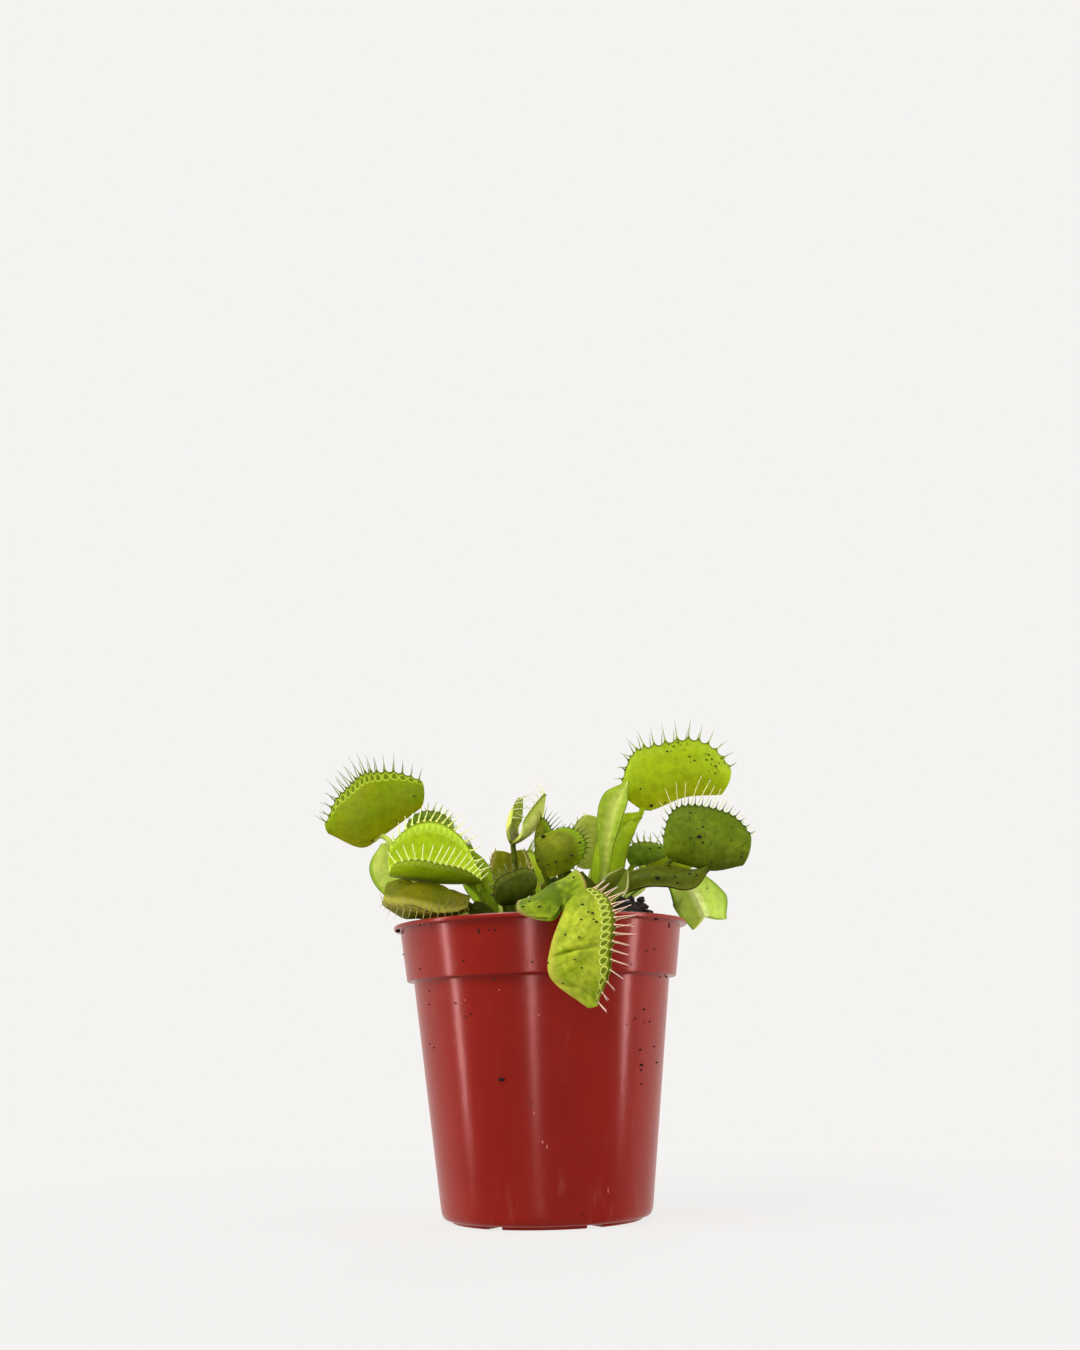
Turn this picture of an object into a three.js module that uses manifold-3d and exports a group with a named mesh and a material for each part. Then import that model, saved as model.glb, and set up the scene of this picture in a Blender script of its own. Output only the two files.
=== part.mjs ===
// Potted Venus flytrap: round nursery pot, peat, two short rhizomes and their leaves.
// Millimetres, +Z up, front towards -Y, pot axis on the Z axis, pot foot on z = 0.
import * as THREE from "three";
import { mergeVertices } from "three/addons/utils/BufferGeometryUtils.js";
import Module from "manifold-3d";

// ---------- pot ----------
const POT_HEIGHT = 85.1;          // foot to top of the lip
const LIP_RADIUS = 42.5;          // outer edge of the rim lip
const LIP_THICK = 1.3;
const COLLAR_TOP_RADIUS = 40.65;
const COLLAR_LOW_RADIUS = 38.95;
const COLLAR_LOW = 69.0;          // height where the collar starts
const BODY_TOP_RADIUS = 37.0;
const BODY_LOW_RADIUS = 30.25;    // just above the bottom corner
const CORNER = 4.2;               // height of the rounded bottom corner
const FOOT_RADIUS = 27.5;
const FOOT_DEPTH = 1.0;           // foot pads stand this far below the corner
const WALL = 1.2;
const FLOOR_TOP = 2.8;
const POT_SIDES = 56;
const CHANNELS = 6;               // drain channels across the foot ring
const CHANNEL_WIDTH = 5.0;
const CHANNEL_LENGTH = 22;
const CHANNEL_TURN = -62;         // degrees from +X to the first channel
const DRAIN_RADIUS = 2.2;
const DRAIN_AT = 22.5;

// ---------- peat ----------
const PEAT_TOP = 80.0;
const PEAT_CLEAR = 0.4;           // gap to the pot wall
const PEAT_SIDES = 44;
const MOUND = { x: 24.5, y: -24, rise: 11.5, spread: 6.5 };
const REST_GAP = 0.3;             // gap kept between pieces that carry each other

// ---------- rhizomes ----------
const CROWNS = { left: [-10, 1], right: [13, 1] };
const CROWN_RADIUS = 7.2;
const CROWN_FOOT = 72.0;
const CROWN_SHOULDER = 79.5;      // where the straight side ends and the dome starts
const CROWN_TOP = 85.3;
const HOLE_CUT = 30;              // height of the cut that opens each rhizome's hole in the peat

// ---------- leaves ----------
const SHELL = 0.9;                // thickness of a trap lobe
const BLADE_EDGE = 0.8;           // thickness of a leaf stalk blade at its edge
const BLADE_MID = 1.7;            // and at its midrib
const STALK_RADIUS = 0.85;

const manifoldModule = await Module();
manifoldModule.setup();
const { Manifold, Mesh: ManifoldMesh } = manifoldModule;

const vec = (a) => new THREE.Vector3(a[0], a[1], a[2]);

// Closed triangle soup gathered as points and index triples.
class Shell {
  constructor() { this.points = []; this.faces = []; }
  add(p) { this.points.push(p.x, p.y, p.z); return this.points.length / 3 - 1; }
  row(points) { return points.map((p) => this.add(p)); }
  tri(a, b, c) { this.faces.push(a, b, c); }
  quad(a, b, c, d) { this.tri(a, b, c); this.tri(a, c, d); }
  // Strip between two rows with their own parameter values along the row.
  zip(rowA, parA, rowB, parB) {
    let i = 0, j = 0;
    while (i < rowA.length - 1 || j < rowB.length - 1) {
      const stepA = j >= rowB.length - 1 || (i < rowA.length - 1 &&
        (parA[i] + parA[i + 1]) <= (parB[j] + parB[j + 1]));
      if (stepA) { this.tri(rowA[i], rowA[i + 1], rowB[j]); i += 1; }
      else { this.tri(rowA[i], rowB[j + 1], rowB[j]); j += 1; }
    }
  }
  solid() {
    const mesh = new ManifoldMesh({
      numProp: 3, vertProperties: new Float32Array(this.points), triVerts: new Uint32Array(this.faces),
    });
    mesh.merge();
    const body = new Manifold(mesh);
    if (body.volume() < 0) {
      for (let k = 0; k < this.faces.length; k += 3) {
        const t = this.faces[k + 1]; this.faces[k + 1] = this.faces[k + 2]; this.faces[k + 2] = t;
      }
      return this.solid();
    }
    return body;
  }
}

// Cutting solid made from a three.js shape.
function solidOf(geometry) {
  geometry.deleteAttribute("normal");
  geometry.deleteAttribute("uv");
  const merged = mergeVertices(geometry);
  return new Manifold(new ManifoldMesh({ numProp: 3,
    vertProperties: new Float32Array(merged.attributes.position.array),
    triVerts: new Uint32Array(merged.index.array) }));
}

// Round cutter standing on Z from one height to another.
function drill(radius, low, high, sides) {
  const geometry = new THREE.CylinderGeometry(radius, radius, high - low, sides);
  return solidOf(geometry.rotateX(Math.PI / 2).translate(0, 0, (low + high) / 2));
}

// Smooth curve through points, read at t in 0..1, with its direction.
function curve(points) {
  const c = new THREE.CatmullRomCurve3(points.map(vec), false, "centripetal");
  return { at: (t) => c.getPoint(t), dir: (t) => c.getTangent(t) };
}
// Value read from evenly spaced entries, eased between them.
function reading(list, t) {
  const x = Math.min(Math.max(t, 0), 1) * (list.length - 1);
  const i = Math.min(Math.floor(x), list.length - 2);
  const p = (k) => list[Math.min(Math.max(k, 0), list.length - 1)];
  const f = x - i;
  const m0 = (p(i + 1) - p(i - 1)) / 2, m1 = (p(i + 2) - p(i)) / 2;
  const f2 = f * f, f3 = f2 * f;
  return (2 * f3 - 3 * f2 + 1) * p(i) + (f3 - 2 * f2 + f) * m0
    + (-2 * f3 + 3 * f2) * p(i + 1) + (f3 - f2) * m1;
}

// Body of revolution about Z from a closed outline of [radius, height].
function revolve(outline, sides) {
  const shell = new Shell();
  const rings = outline.map(([r, z]) => (r < 1e-6 ? [shell.add(new THREE.Vector3(0, 0, z))]
    : shell.row(Array.from({ length: sides }, (_, i) => new THREE.Vector3(
      r * Math.cos(i / sides * 2 * Math.PI), r * Math.sin(i / sides * 2 * Math.PI), z)))));
  for (let k = 0; k < rings.length - 1; k += 1) {
    const a = rings[k], b = rings[k + 1];
    for (let i = 0; i < sides; i += 1) {
      const j = (i + 1) % sides;
      if (a.length === 1) shell.tri(a[0], b[j], b[i]);
      else if (b.length === 1) shell.tri(a[i], a[j], b[0]);
      else shell.quad(a[i], a[j], b[j], b[i]);
    }
  }
  return shell.solid();
}

// Flat leaf stalk: a strip along its path, two wings folded about the midrib.
function blade({ path, side, wide, wideB = wide, fold = 12, heart = 0.35, steps = 7 }) {
  const line = curve(path);
  const shell = new Shell();
  const sides = side.length === 3 && typeof side[0] === "number" ? [side, side] : side;
  const lift = Math.tan(fold * Math.PI / 180);
  const rings = [];
  for (let k = 0; k <= steps; k += 1) {
    const t = k / steps;
    const mid = line.at(t), dir = line.dir(t);
    const s = vec([0, 1, 2].map((c) => reading(sides.map((v) => v[c]), t)));
    s.addScaledVector(dir, -s.dot(dir)).normalize();
    const up = new THREE.Vector3().crossVectors(s, dir).normalize();
    const spot = (u, w, h) => mid.clone().addScaledVector(s, u * w)
      .addScaledVector(up, Math.abs(u) * w * lift + h)
      .addScaledVector(dir, heart * w * Math.abs(u) * t ** 4);
    const wa = reading(wide, t), wb = reading(wideB, t);
    rings.push(shell.row([
      spot(-1, wa, 0), spot(-0.5, wa, 0.2), spot(0, wa, 0), spot(0.5, wb, 0.2), spot(1, wb, 0),
      spot(1, wb, -BLADE_EDGE), spot(0, wa, -BLADE_MID), spot(-1, wa, -BLADE_EDGE),
    ]));
  }
  for (let k = 0; k < steps; k += 1) {
    for (let i = 0; i < 8; i += 1) {
      const j = (i + 1) % 8;
      shell.quad(rings[k][i], rings[k + 1][i], rings[k + 1][j], rings[k][j]);
    }
  }
  const cap = (r, flip) => [[0, 1, 7], [1, 2, 7], [2, 6, 7], [2, 3, 6], [3, 5, 6], [3, 4, 5]]
    .forEach(([a, b, c]) => (flip ? shell.tri(r[a], r[c], r[b]) : shell.tri(r[a], r[b], r[c])));
  cap(rings[0], false);
  cap(rings[steps], true);
  return shell.solid();
}

// Round stalk along points, tapering a little.
function rod(points, radius, steps = 4, sides = 5, taper = 0.9) {
  const line = curve(points);
  const shell = new Shell();
  const rings = [];
  let ref = new THREE.Vector3(0.3, 0.9, 0.1);
  for (let k = 0; k <= steps; k += 1) {
    const t = k / steps, mid = line.at(t), dir = line.dir(t);
    const a = ref.clone().addScaledVector(dir, -ref.dot(dir)).normalize();
    ref = a;
    const b = new THREE.Vector3().crossVectors(dir, a);
    const r = radius * (1 + (taper - 1) * t);
    rings.push(shell.row(Array.from({ length: sides }, (_, i) => {
      const w = i / sides * 2 * Math.PI;
      return mid.clone().addScaledVector(a, r * Math.cos(w)).addScaledVector(b, r * Math.sin(w));
    })));
  }
  for (let k = 0; k < steps; k += 1) {
    for (let i = 0; i < sides; i += 1) {
      const j = (i + 1) % sides;
      shell.quad(rings[k][i], rings[k][j], rings[k + 1][j], rings[k + 1][i]);
    }
  }
  for (let i = 1; i < sides - 1; i += 1) {
    shell.tri(rings[0][0], rings[0][i + 1], rings[0][i]);
    shell.tri(rings[steps][0], rings[steps][i], rings[steps][i + 1]);
  }
  return shell.solid();
}

// Snap trap: two curved lobes on one midrib, teeth raised from the rim of each lobe.
// The lobes spread from the chord of the midrib, each fanned from its base end to its tip end.
function trap({ rib, open, high, highB = high, gape = 30, bulge = 0.16, bulgeB = bulge,
  fan = [-20, 20], fanB = fan, teeth = 9, tooth = 5.5, lean = 20, sweepB = 0, steps = 8, cross = 3 }) {
  const line = curve(rib);
  const shell = new Shell();
  const half = gape * Math.PI / 360;
  const dir = vec(rib.at(-1)).sub(vec(rib[0])).normalize();
  const u = vec(open); u.addScaledVector(dir, -u.dot(dir)).normalize();
  const across = new THREE.Vector3().crossVectors(dir, u).normalize();
  const place = (s, v, sign) => {
    const spread = sign < 0 ? fan : fanB;
    const turn = (spread[0] + (spread[1] - spread[0]) * s) * Math.PI / 180;
    const h = reading(sign < 0 ? high : highB, s);
    const b = sign < 0 ? bulge : bulgeB;
    const wide = u.clone().multiplyScalar(Math.cos(half)).addScaledVector(across, sign * Math.sin(half));
    const out = across.clone().multiplyScalar(sign * Math.cos(half)).addScaledVector(u, -Math.sin(half));
    return line.at(s)
      .addScaledVector(wide, h * v * Math.cos(turn))
      .addScaledVector(dir, h * v * Math.sin(turn))
      .addScaledVector(out, b * h * Math.sin(Math.PI * v));
  };
  const e = 0.004;
  const inward = (s, v, sign) => {
    const s0 = Math.max(s - e, 0), s1 = Math.min(s + e, 1);
    const v0 = Math.max(v - e, 0), v1 = Math.min(v + e, 1);
    const ds = place(s1, v, sign).sub(place(s0, v, sign));
    const dv = place(s, v1, sign).sub(place(s, v0, sign));
    return new THREE.Vector3().crossVectors(dv, ds).multiplyScalar(sign).normalize();
  };
  const inner = (s, v, sign) => place(s, v, sign).addScaledVector(inward(s, v, sign), SHELL);
  const innerRib = (s) => {
    const a = inward(s, 0.06, -1), b = inward(s, 0.06, 1);
    const m = a.clone().add(b).normalize();
    return line.at(s).addScaledVector(m, Math.min(SHELL / Math.max(m.dot(a), 0.35), 2.4 * SHELL));
  };
  const even = Array.from({ length: steps + 1 }, (_, k) => k / steps);
  const rimStops = (sign) => {
    const stops = [0];
    for (let k = 0; k < teeth; k += 1) {
      const c = (k + 0.5 + sign * 0.2) / teeth;
      stops.push(c - 0.14 / teeth, c + 0.14 / teeth);
    }
    stops.push(1);
    return stops;
  };
  const levels = Array.from({ length: cross }, (_, k) => k / cross);
  const outRib = shell.row(even.map((s) => line.at(s)));
  const inRib = shell.row(even.map(innerRib));
  for (const sign of [-1, 1]) {
    const flip = sign < 0;
    const zip = (a, pa, b, pb) => (flip ? shell.zip(b, pb, a, pa) : shell.zip(a, pa, b, pb));
    const outRows = levels.map((v, k) => (k ? shell.row(even.map((s) => place(s, v, sign))) : outRib));
    const inRows = levels.map((v, k) => (k ? shell.row(even.map((s) => inner(s, v, sign))) : inRib));
    const stops = rimStops(sign);
    const outRim = shell.row(stops.map((s) => place(s, 1, sign)));
    const inRim = shell.row(stops.map((s) => inner(s, 1, sign)));
    for (let k = 0; k < cross - 1; k += 1) {
      zip(outRows[k], even, outRows[k + 1], even);
      zip(inRows[k + 1], even, inRows[k], even);
    }
    zip(outRows[cross - 1], even, outRim, stops);
    zip(inRim, stops, inRows[cross - 1], even);
    for (let k = 0; k < stops.length - 1; k += 1) {
      const ring = [outRim[k], outRim[k + 1], inRim[k + 1], inRim[k]];
      if (k % 2 === 1 && tooth > 0) {
        const s = (stops[k] + stops[k + 1]) / 2;
        const root = place(s, 1, sign).add(inner(s, 1, sign)).multiplyScalar(0.5);
        const along = place(s + 0.01, 1, sign).sub(place(s - 0.01, 1, sign)).normalize();
        const off = inward(s, 1, sign).cross(along).multiplyScalar(-sign);
        const grow = place(s, 1, sign).sub(place(s, 0.8, sign)).normalize().add(off).normalize()
          .addScaledVector(across, -sign * Math.tan(lean * Math.PI / 180))
          .addScaledVector(dir, sign > 0 ? sweepB : 0).normalize();
        const size = tooth * (0.55 + 0.45 * Math.sin(Math.PI * Math.min(Math.max(s, 0.1), 0.9)));
        const tip = shell.add(root.addScaledVector(grow, size));
        for (let i = 0; i < 4; i += 1) {
          const a = ring[i], b = ring[(i + 1) % 4];
          if (flip) shell.tri(b, a, tip); else shell.tri(a, b, tip);
        }
      } else if (flip) shell.quad(ring[3], ring[2], ring[1], ring[0]);
      else shell.quad(ring[0], ring[1], ring[2], ring[3]);
    }
    for (const [end, turn] of [[0, flip], [1, !flip]]) {
      const out = outRows.map((r) => r[end ? steps : 0]).concat(end ? outRim.at(-1) : outRim[0]);
      const inn = inRows.map((r) => r[end ? steps : 0]).concat(end ? inRim.at(-1) : inRim[0]);
      for (let k = 0; k < cross; k += 1) {
        if (turn) shell.quad(out[k], inn[k], inn[k + 1], out[k + 1]);
        else shell.quad(out[k], out[k + 1], inn[k + 1], inn[k]);
      }
    }
  }
  return shell.solid();
}

// One leaf: blade, stalk and trap joined into one body.
function leaf({ stem, snap, joint = 0.06, bend = [], from = 0.86 }) {
  const parts = [blade(stem)];
  if (snap) {
    parts.push(trap(snap));
    const line = curve(stem.path), ribs = curve(snap.rib);
    const u = vec(snap.open); const d = ribs.dir(joint);
    u.addScaledVector(d, -u.dot(d)).normalize();
    const way = [line.at(from), line.at(Math.min(from + 0.14, 1))].map((p) => p.toArray());
    const seat = ribs.at(joint).addScaledVector(u, 0.55);
    const far = ribs.at(Math.min(joint + 0.1, 1)).addScaledVector(u, 0.6);
    parts.push(rod([...way, ...bend, seat.toArray(), far.toArray()], STALK_RADIUS, 6));
  }
  return Manifold.union(parts).subtract(rhizomeSpace);
}

// Rhizome: straight sided below the peat, domed above it. A grown copy clears the leaf bases.
function crown(x, y, grow = 0) {
  const r = CROWN_RADIUS + grow, top = CROWN_TOP + grow, rise = top - CROWN_SHOULDER;
  const dome = [12, 30, 48, 66, 80].map((a) => a * Math.PI / 180)
    .map((a) => [r * Math.cos(a), CROWN_SHOULDER + rise * Math.sin(a)]);
  return revolve([[0, CROWN_FOOT - grow], [r - 0.8, CROWN_FOOT - grow], [r, CROWN_FOOT + 1.2],
    [r, CROWN_SHOULDER], ...dome, [0, top]], 20).translate([x, y, 0]);
}
const rhizomeSpace = Manifold.union(Object.values(CROWNS).map(([x, y]) => crown(x, y, REST_GAP)));

const LEAVES = {
  // ----- left crown -----
  leaf_tall_left: {
    stem: { path: [[-15.2, 3, 82.6], [-23.2, 4.8, 89.6], [-33.4, 5.2, 95.6], [-41.6, 4.6, 102.8], [-43.4, 3.8, 110.6]],
      side: [[0.58, 0.2, 0.78], [0.75, 0.1, 0.6], [1, 0, 0]], wide: [1.4, 2.6, 4.6, 7.4, 8, 4],
      wideB: [1.4, 2.4, 4, 5.4, 5, 2], fold: 4, heart: 0.2, steps: 9 },
    snap: { rib: [[-34.5, 7, 121.5], [-46, 5, 113], [-51.8, 4, 109.5], [-61.5, 2, 113.5]], open: [0, 0, 1],
      high: [9.4, 17.4, 20.5, 16, 4], gape: 17, bulge: 0.16, fan: [-18, 6], teeth: 12, tooth: 6.5 },
    joint: 0.36 },
  leaf_bright_left: {
    stem: { path: [[-13.2, -2.9, 82.6], [-15.4, -3.4, 91], [-18.6, -3.6, 99], [-22.6, -3, 107.5]],
      side: [0.8, -0.1, 0.5], wide: [1.2, 1.3, 1.8, 4.4, 2.6],
      wideB: [1.4, 3, 4.6, 5, 2.6], fold: 6, heart: 0 },
    snap: { rib: [[-17, -8.5, 96.5], [-30, -10, 96.8], [-42, -13, 98.6]], open: [0, -0.53, 0.85],
      high: [3.5, 12, 16, 15.5, 7.5], highB: [4, 14.5, 19, 17.6, 12], gape: 90, bulge: 0.1, fan: [-6, 2],
      teeth: 13, tooth: 4.5, lean: 14, sweepB: -0.45 },
    from: 0.5, bend: [[-18, -6.4, 98]] },
  leaf_low_left: {
    stem: { path: [[-11, -4.8, 81.8], [-15.2, -9.4, 86.6], [-19, -10.6, 89.5]], side: [0.6, 0.2, 0.75],
      wide: [1.4, 2.4, 3, 2.6], fold: 10 },
    snap: { rib: [[-20.5, -11.5, 91.3], [-31, -10.8, 93.1], [-41.4, -10.4, 95.3]], open: [0, -0.94, -0.34],
      high: [7, 13.5, 16.4, 17, 12], gape: 13, bulge: 0.06, bulgeB: 0.32, fan: [-8, 6],
      teeth: 8, tooth: 2.4, lean: 30 } },
  leaf_young_centre: {
    stem: { path: [[-8.6, -0.2, 84.4], [-7.2, 0.5, 92], [-6.6, 1.4, 99]], side: [1, 0, 0],
      wide: [1.2, 1.9, 2.2, 1.6], fold: 20 },
    snap: { rib: [[-8.1, -1.6, 108.6], [-7.3, 3, 109.2], [-6, 8, 111.4]], open: [0.38, -0.05, 0.93],
      high: [8.5, 12.5, 14, 12.5, 7], highB: [9.5, 14.5, 17.4, 16, 9], gape: 24, bulge: 0.19, fan: [-8, 20], teeth: 7, tooth: 4.5 },
    joint: 0.3 },
  leaf_olive_behind: {
    stem: { path: [[-8.6, 6.2, 82.8], [-8.4, 7, 90], [-8.2, 6.6, 96.5]], side: [1, 0, 0],
      wide: [1.3, 2.2, 3, 2.6], fold: 14 },
    snap: { rib: [[-8.4, 6, 99], [-8.4, 6.6, 103.5], [-8.5, 6, 107]], open: [0, -1, 0.1],
      high: [6.5, 8.2, 8, 7, 6], gape: 104, bulge: 0.12, fan: [-25, 8], teeth: 6, tooth: 2.5,
      steps: 6 } },
  leaf_dark_centre: {
    stem: { path: [[-6.8, -3.4, 82.6], [-3.6, -7.5, 87], [-2, -10.5, 90]], side: [0.8, 0.4, 0.3],
      wide: [1.3, 2.2, 2.8, 2.4], fold: 14 },
    snap: { rib: [[-1.6, -13, 92.6], [-6.5, -13.6, 90.4], [-11.2, -14, 91.4]], open: [-0.1, 0, 1],
      high: [6, 8.6, 9.6, 8.6, 4.5], gape: 44, bulge: 0.14, fan: [-24, 16], teeth: 7, tooth: 2.6, steps: 6 } },
  leaf_small_back_left: {
    stem: { path: [[-13.4, 5.6, 82], [-16.4, 10.5, 94], [-23, 14.5, 106]], side: [0.6, -0.5, 0.4],
      wide: [1.3, 2.4, 3.6, 3.2], fold: 14 },
    snap: { rib: [[-28.4, 16, 110.6], [-34, 17.5, 111.4], [-40, 18, 114.6]], open: [-0.05, 0, 1],
      high: [7, 10.5, 11.5, 9.5, 5], gape: 40, bulge: 0.14, fan: [-10, 10], teeth: 7, tooth: 3, steps: 6 } },
  // ----- right crown -----
  leaf_spotted: {
    stem: { path: [[7.8, -0.2, 82.8], [4.8, -2, 90], [2.6, -3.8, 96.4]], side: [0.6, 0.7, 0.3],
      wide: [1.4, 2.6, 3.6, 3], fold: 12 },
    snap: { rib: [[1, -4.6, 99.8], [-0.8, -4.2, 104], [-1.2, -3.8, 108.4]], open: [1, -0.1, 0.1],
      high: [12.5, 15.6, 16.2, 14.6, 9], highB: [7, 8.4, 9.4, 9.6, 8.6], gape: 38, bulge: 0.12,
      fan: [-14, 14], fanB: [6, 60], teeth: 10, tooth: 2.4, steps: 7 } },
  leaf_pale_behind: {
    stem: { path: [[10.6, 5.8, 82.2], [12.6, 11, 91], [15.2, 13.8, 99.5]], side: [1, -0.1, 0],
      wide: [1.3, 2.6, 3.8, 3.2], fold: 14 },
    snap: { rib: [[16.4, 14.6, 103], [18.4, 15.4, 110], [19.6, 15, 117.5]], open: [0, -1, 0.05],
      high: [6.5, 8.5, 8.5, 8.5, 8], gape: 130, bulge: 0.08, fan: [-12, 6], teeth: 7, tooth: 3, steps: 6 } },
  leaf_lens: {
    stem: { path: [[13.8, 1.2, 84.2], [19.2, -1, 101], [21.2, -1.6, 113], [27, -1.4, 127]],
      side: [0.97, -0.2, -0.15], wide: [1.2, 1.3, 1.8, 4.6, 4.8, 0.7], fold: 24, heart: 0, steps: 9 } },
  leaf_tall_right: {
    stem: { path: [[18.1, 2.7, 82.4], [19.8, 4.4, 96], [22.3, 5.4, 108.6], [26.2, 5.6, 114.5], [30.4, 5.2, 117.6]],
      side: [[0.8, -0.45, -0.4], [0.8, -0.4, -0.3], [0.6, -0.2, -0.7]], wide: [1.4, 2.8, 4.4, 4.4, 3.2, 1.3],
      fold: 10, heart: 0, steps: 9 },
    snap: { rib: [[26.4, 4.4, 122], [32.2, 4.6, 118.6], [44, 5.4, 122.4], [54.6, 6.4, 123]], open: [0.03, 0, 1],
      high: [6.5, 17.6, 19, 16, 9.6], gape: 19, bulge: 0.16, fan: [-11, 26], teeth: 12, tooth: 6.8 },
    joint: 0.28 },
  leaf_dark_right: {
    stem: { path: [[16.8, -3.2, 82.6], [23.4, -6, 94.6], [30.2, -8.6, 97], [36.6, -10.2, 97.2], [42.8, -11.6, 96.4],
        [48.2, -12, 98.8]], side: [-0.2, 0.4, 0.9], wide: [1.4, 2.8, 3, 3.4, 3.6, 1],
      wideB: [1.4, 3, 3.4, 3.6, 3, 1], fold: 6, heart: 0, steps: 9 },
    snap: { rib: [[37.4, -9.4, 102], [44, -11, 99.8], [57.6, -12.4, 98]], open: [0, 0, 1],
      high: [7.5, 15.5, 18.2, 17, 11], gape: 22, bulge: 0.15, fan: [-22, 18], teeth: 12, tooth: 7.5 },
    from: 0.56, bend: [[36.4, -9.2, 99.8]] },
  leaf_hanging_right: {
    stem: { path: [[18.6, -1.1, 82.4], [28.4, 1.8, 95.4], [36.8, 3.5, 99.2], [43.7, 3.4, 95.9], [46.2, 2.4, 91.4],
        [48.2, 1.6, 86.2]], side: [[0, 1, 0.2], [0.2, 0.6, 0.8], [0.8, 0, 0.56], [0.86, 0, 0.5]],
      wide: [1.4, 2.2, 2.8, 6.4, 6.6, 4.4], wideB: [1.4, 2, 2.6, 5.6, 9, 6.4], fold: 8, heart: 0.3, steps: 10 } },
  leaf_front: {
    stem: { path: [[10, -3.2, 82.2], [5.4, -15, 90.6], [4.2, -28, 93.2], [5.4, -39, 92.2], [6.2, -46.6, 88.4]],
      side: [[1, 0, 0.1], [0.85, 0.1, 0.45], [0.82, 0.15, 0.52]], wide: [1.4, 3.4, 7, 9.4, 10.6, 10],
      wideB: [1.4, 3.4, 6, 7.2, 7.6, 6.4], fold: 2, heart: 0.22, steps: 9 },
    bend: [[6.8, -48.9, 87.4]],
    snap: { rib: [[6.6, -50.4, 85.4], [2.6, -50.8, 75.5], [2, -51, 67.5], [9.8, -51.6, 59]],
      open: [1, -0.16, 0.1], high: [9.5, 16.6, 18.6, 15.5, 5], gape: 20, bulge: 0.16,
      fan: [-22, -2], teeth: 12, tooth: 6.5 },
    joint: 0.02 },
  leaf_small_right: {
    stem: { path: [[17, 6.1, 81.8], [21.6, 9, 91.5], [25.8, 9, 99]], side: [0.7, -0.5, 0],
      wide: [1.3, 2.4, 3.4, 3], fold: 14 },
    snap: { rib: [[27.8, 8.6, 102.4], [32.4, 8.4, 103], [37.8, 8.2, 105]], open: [0, 0, 1],
      high: [5, 7, 7.4, 6, 3.5], gape: 44, bulge: 0.14, fan: [-10, 10], teeth: 6, tooth: 3.5, steps: 6 } },
  leaf_folded_old: {
    stem: { path: [[13.4, -4.2, 82.4], [17.6, -10.2, 88.6], [21.4, -13, 94], [24.6, -14, 99]],
      side: [0.75, -0.2, -0.6], wide: [1.4, 3.4, 4.6, 4.2, 1.6], fold: 26, heart: 0 } },
  // ----- seen from behind -----
  leaf_back_centre: {
    stem: { path: [[8.1, 2.9, 82.2], [3.8, 11.6, 91], [2.4, 22, 97]], side: [1, 0.2, 0],
      wide: [1.3, 3.6, 6.4, 5.6], fold: 12, heart: 0.2 },
    snap: { rib: [[2.4, 26, 98.6], [0.4, 32, 98], [-1, 40, 100.4]], open: [0.1, -0.1, 1],
      high: [7, 12, 13.5, 12, 7], gape: 40, bulge: 0.15, fan: [-14, 16], teeth: 9, tooth: 4.5, steps: 7 } },
  leaf_back_right: {
    stem: { path: [[14, 7.4, 81.4], [21, 16.4, 90.5], [31, 22, 97.5]], side: [0.6, -0.7, 0.2],
      wide: [1.3, 3.6, 6, 5.2], fold: 12, heart: 0.2 },
    snap: { rib: [[34.5, 24.8, 100], [40.5, 27.2, 100.6], [47.5, 29, 104]], open: [0, 0.2, 1],
      high: [6, 10.5, 12, 10.5, 6], gape: 70, bulge: 0.12, fan: [-14, 16], teeth: 8, tooth: 4, steps: 7 } },
  leaf_back_left: {
    stem: { path: [[-10.5, 7, 81.6], [-14.4, 16, 91], [-20.5, 25.5, 100]], side: [0.85, 0.5, 0],
      wide: [1.3, 2.8, 5, 4.6], fold: 12, heart: 0.2 },
    snap: { rib: [[-22.6, 28.4, 101.6], [-26.5, 34, 102], [-30.8, 40, 105]], open: [-0.1, 0, 1],
      high: [6, 11, 12.5, 11, 6], gape: 34, bulge: 0.16, fan: [-14, 16], teeth: 9, tooth: 4.5, steps: 7 } },
};

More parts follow.
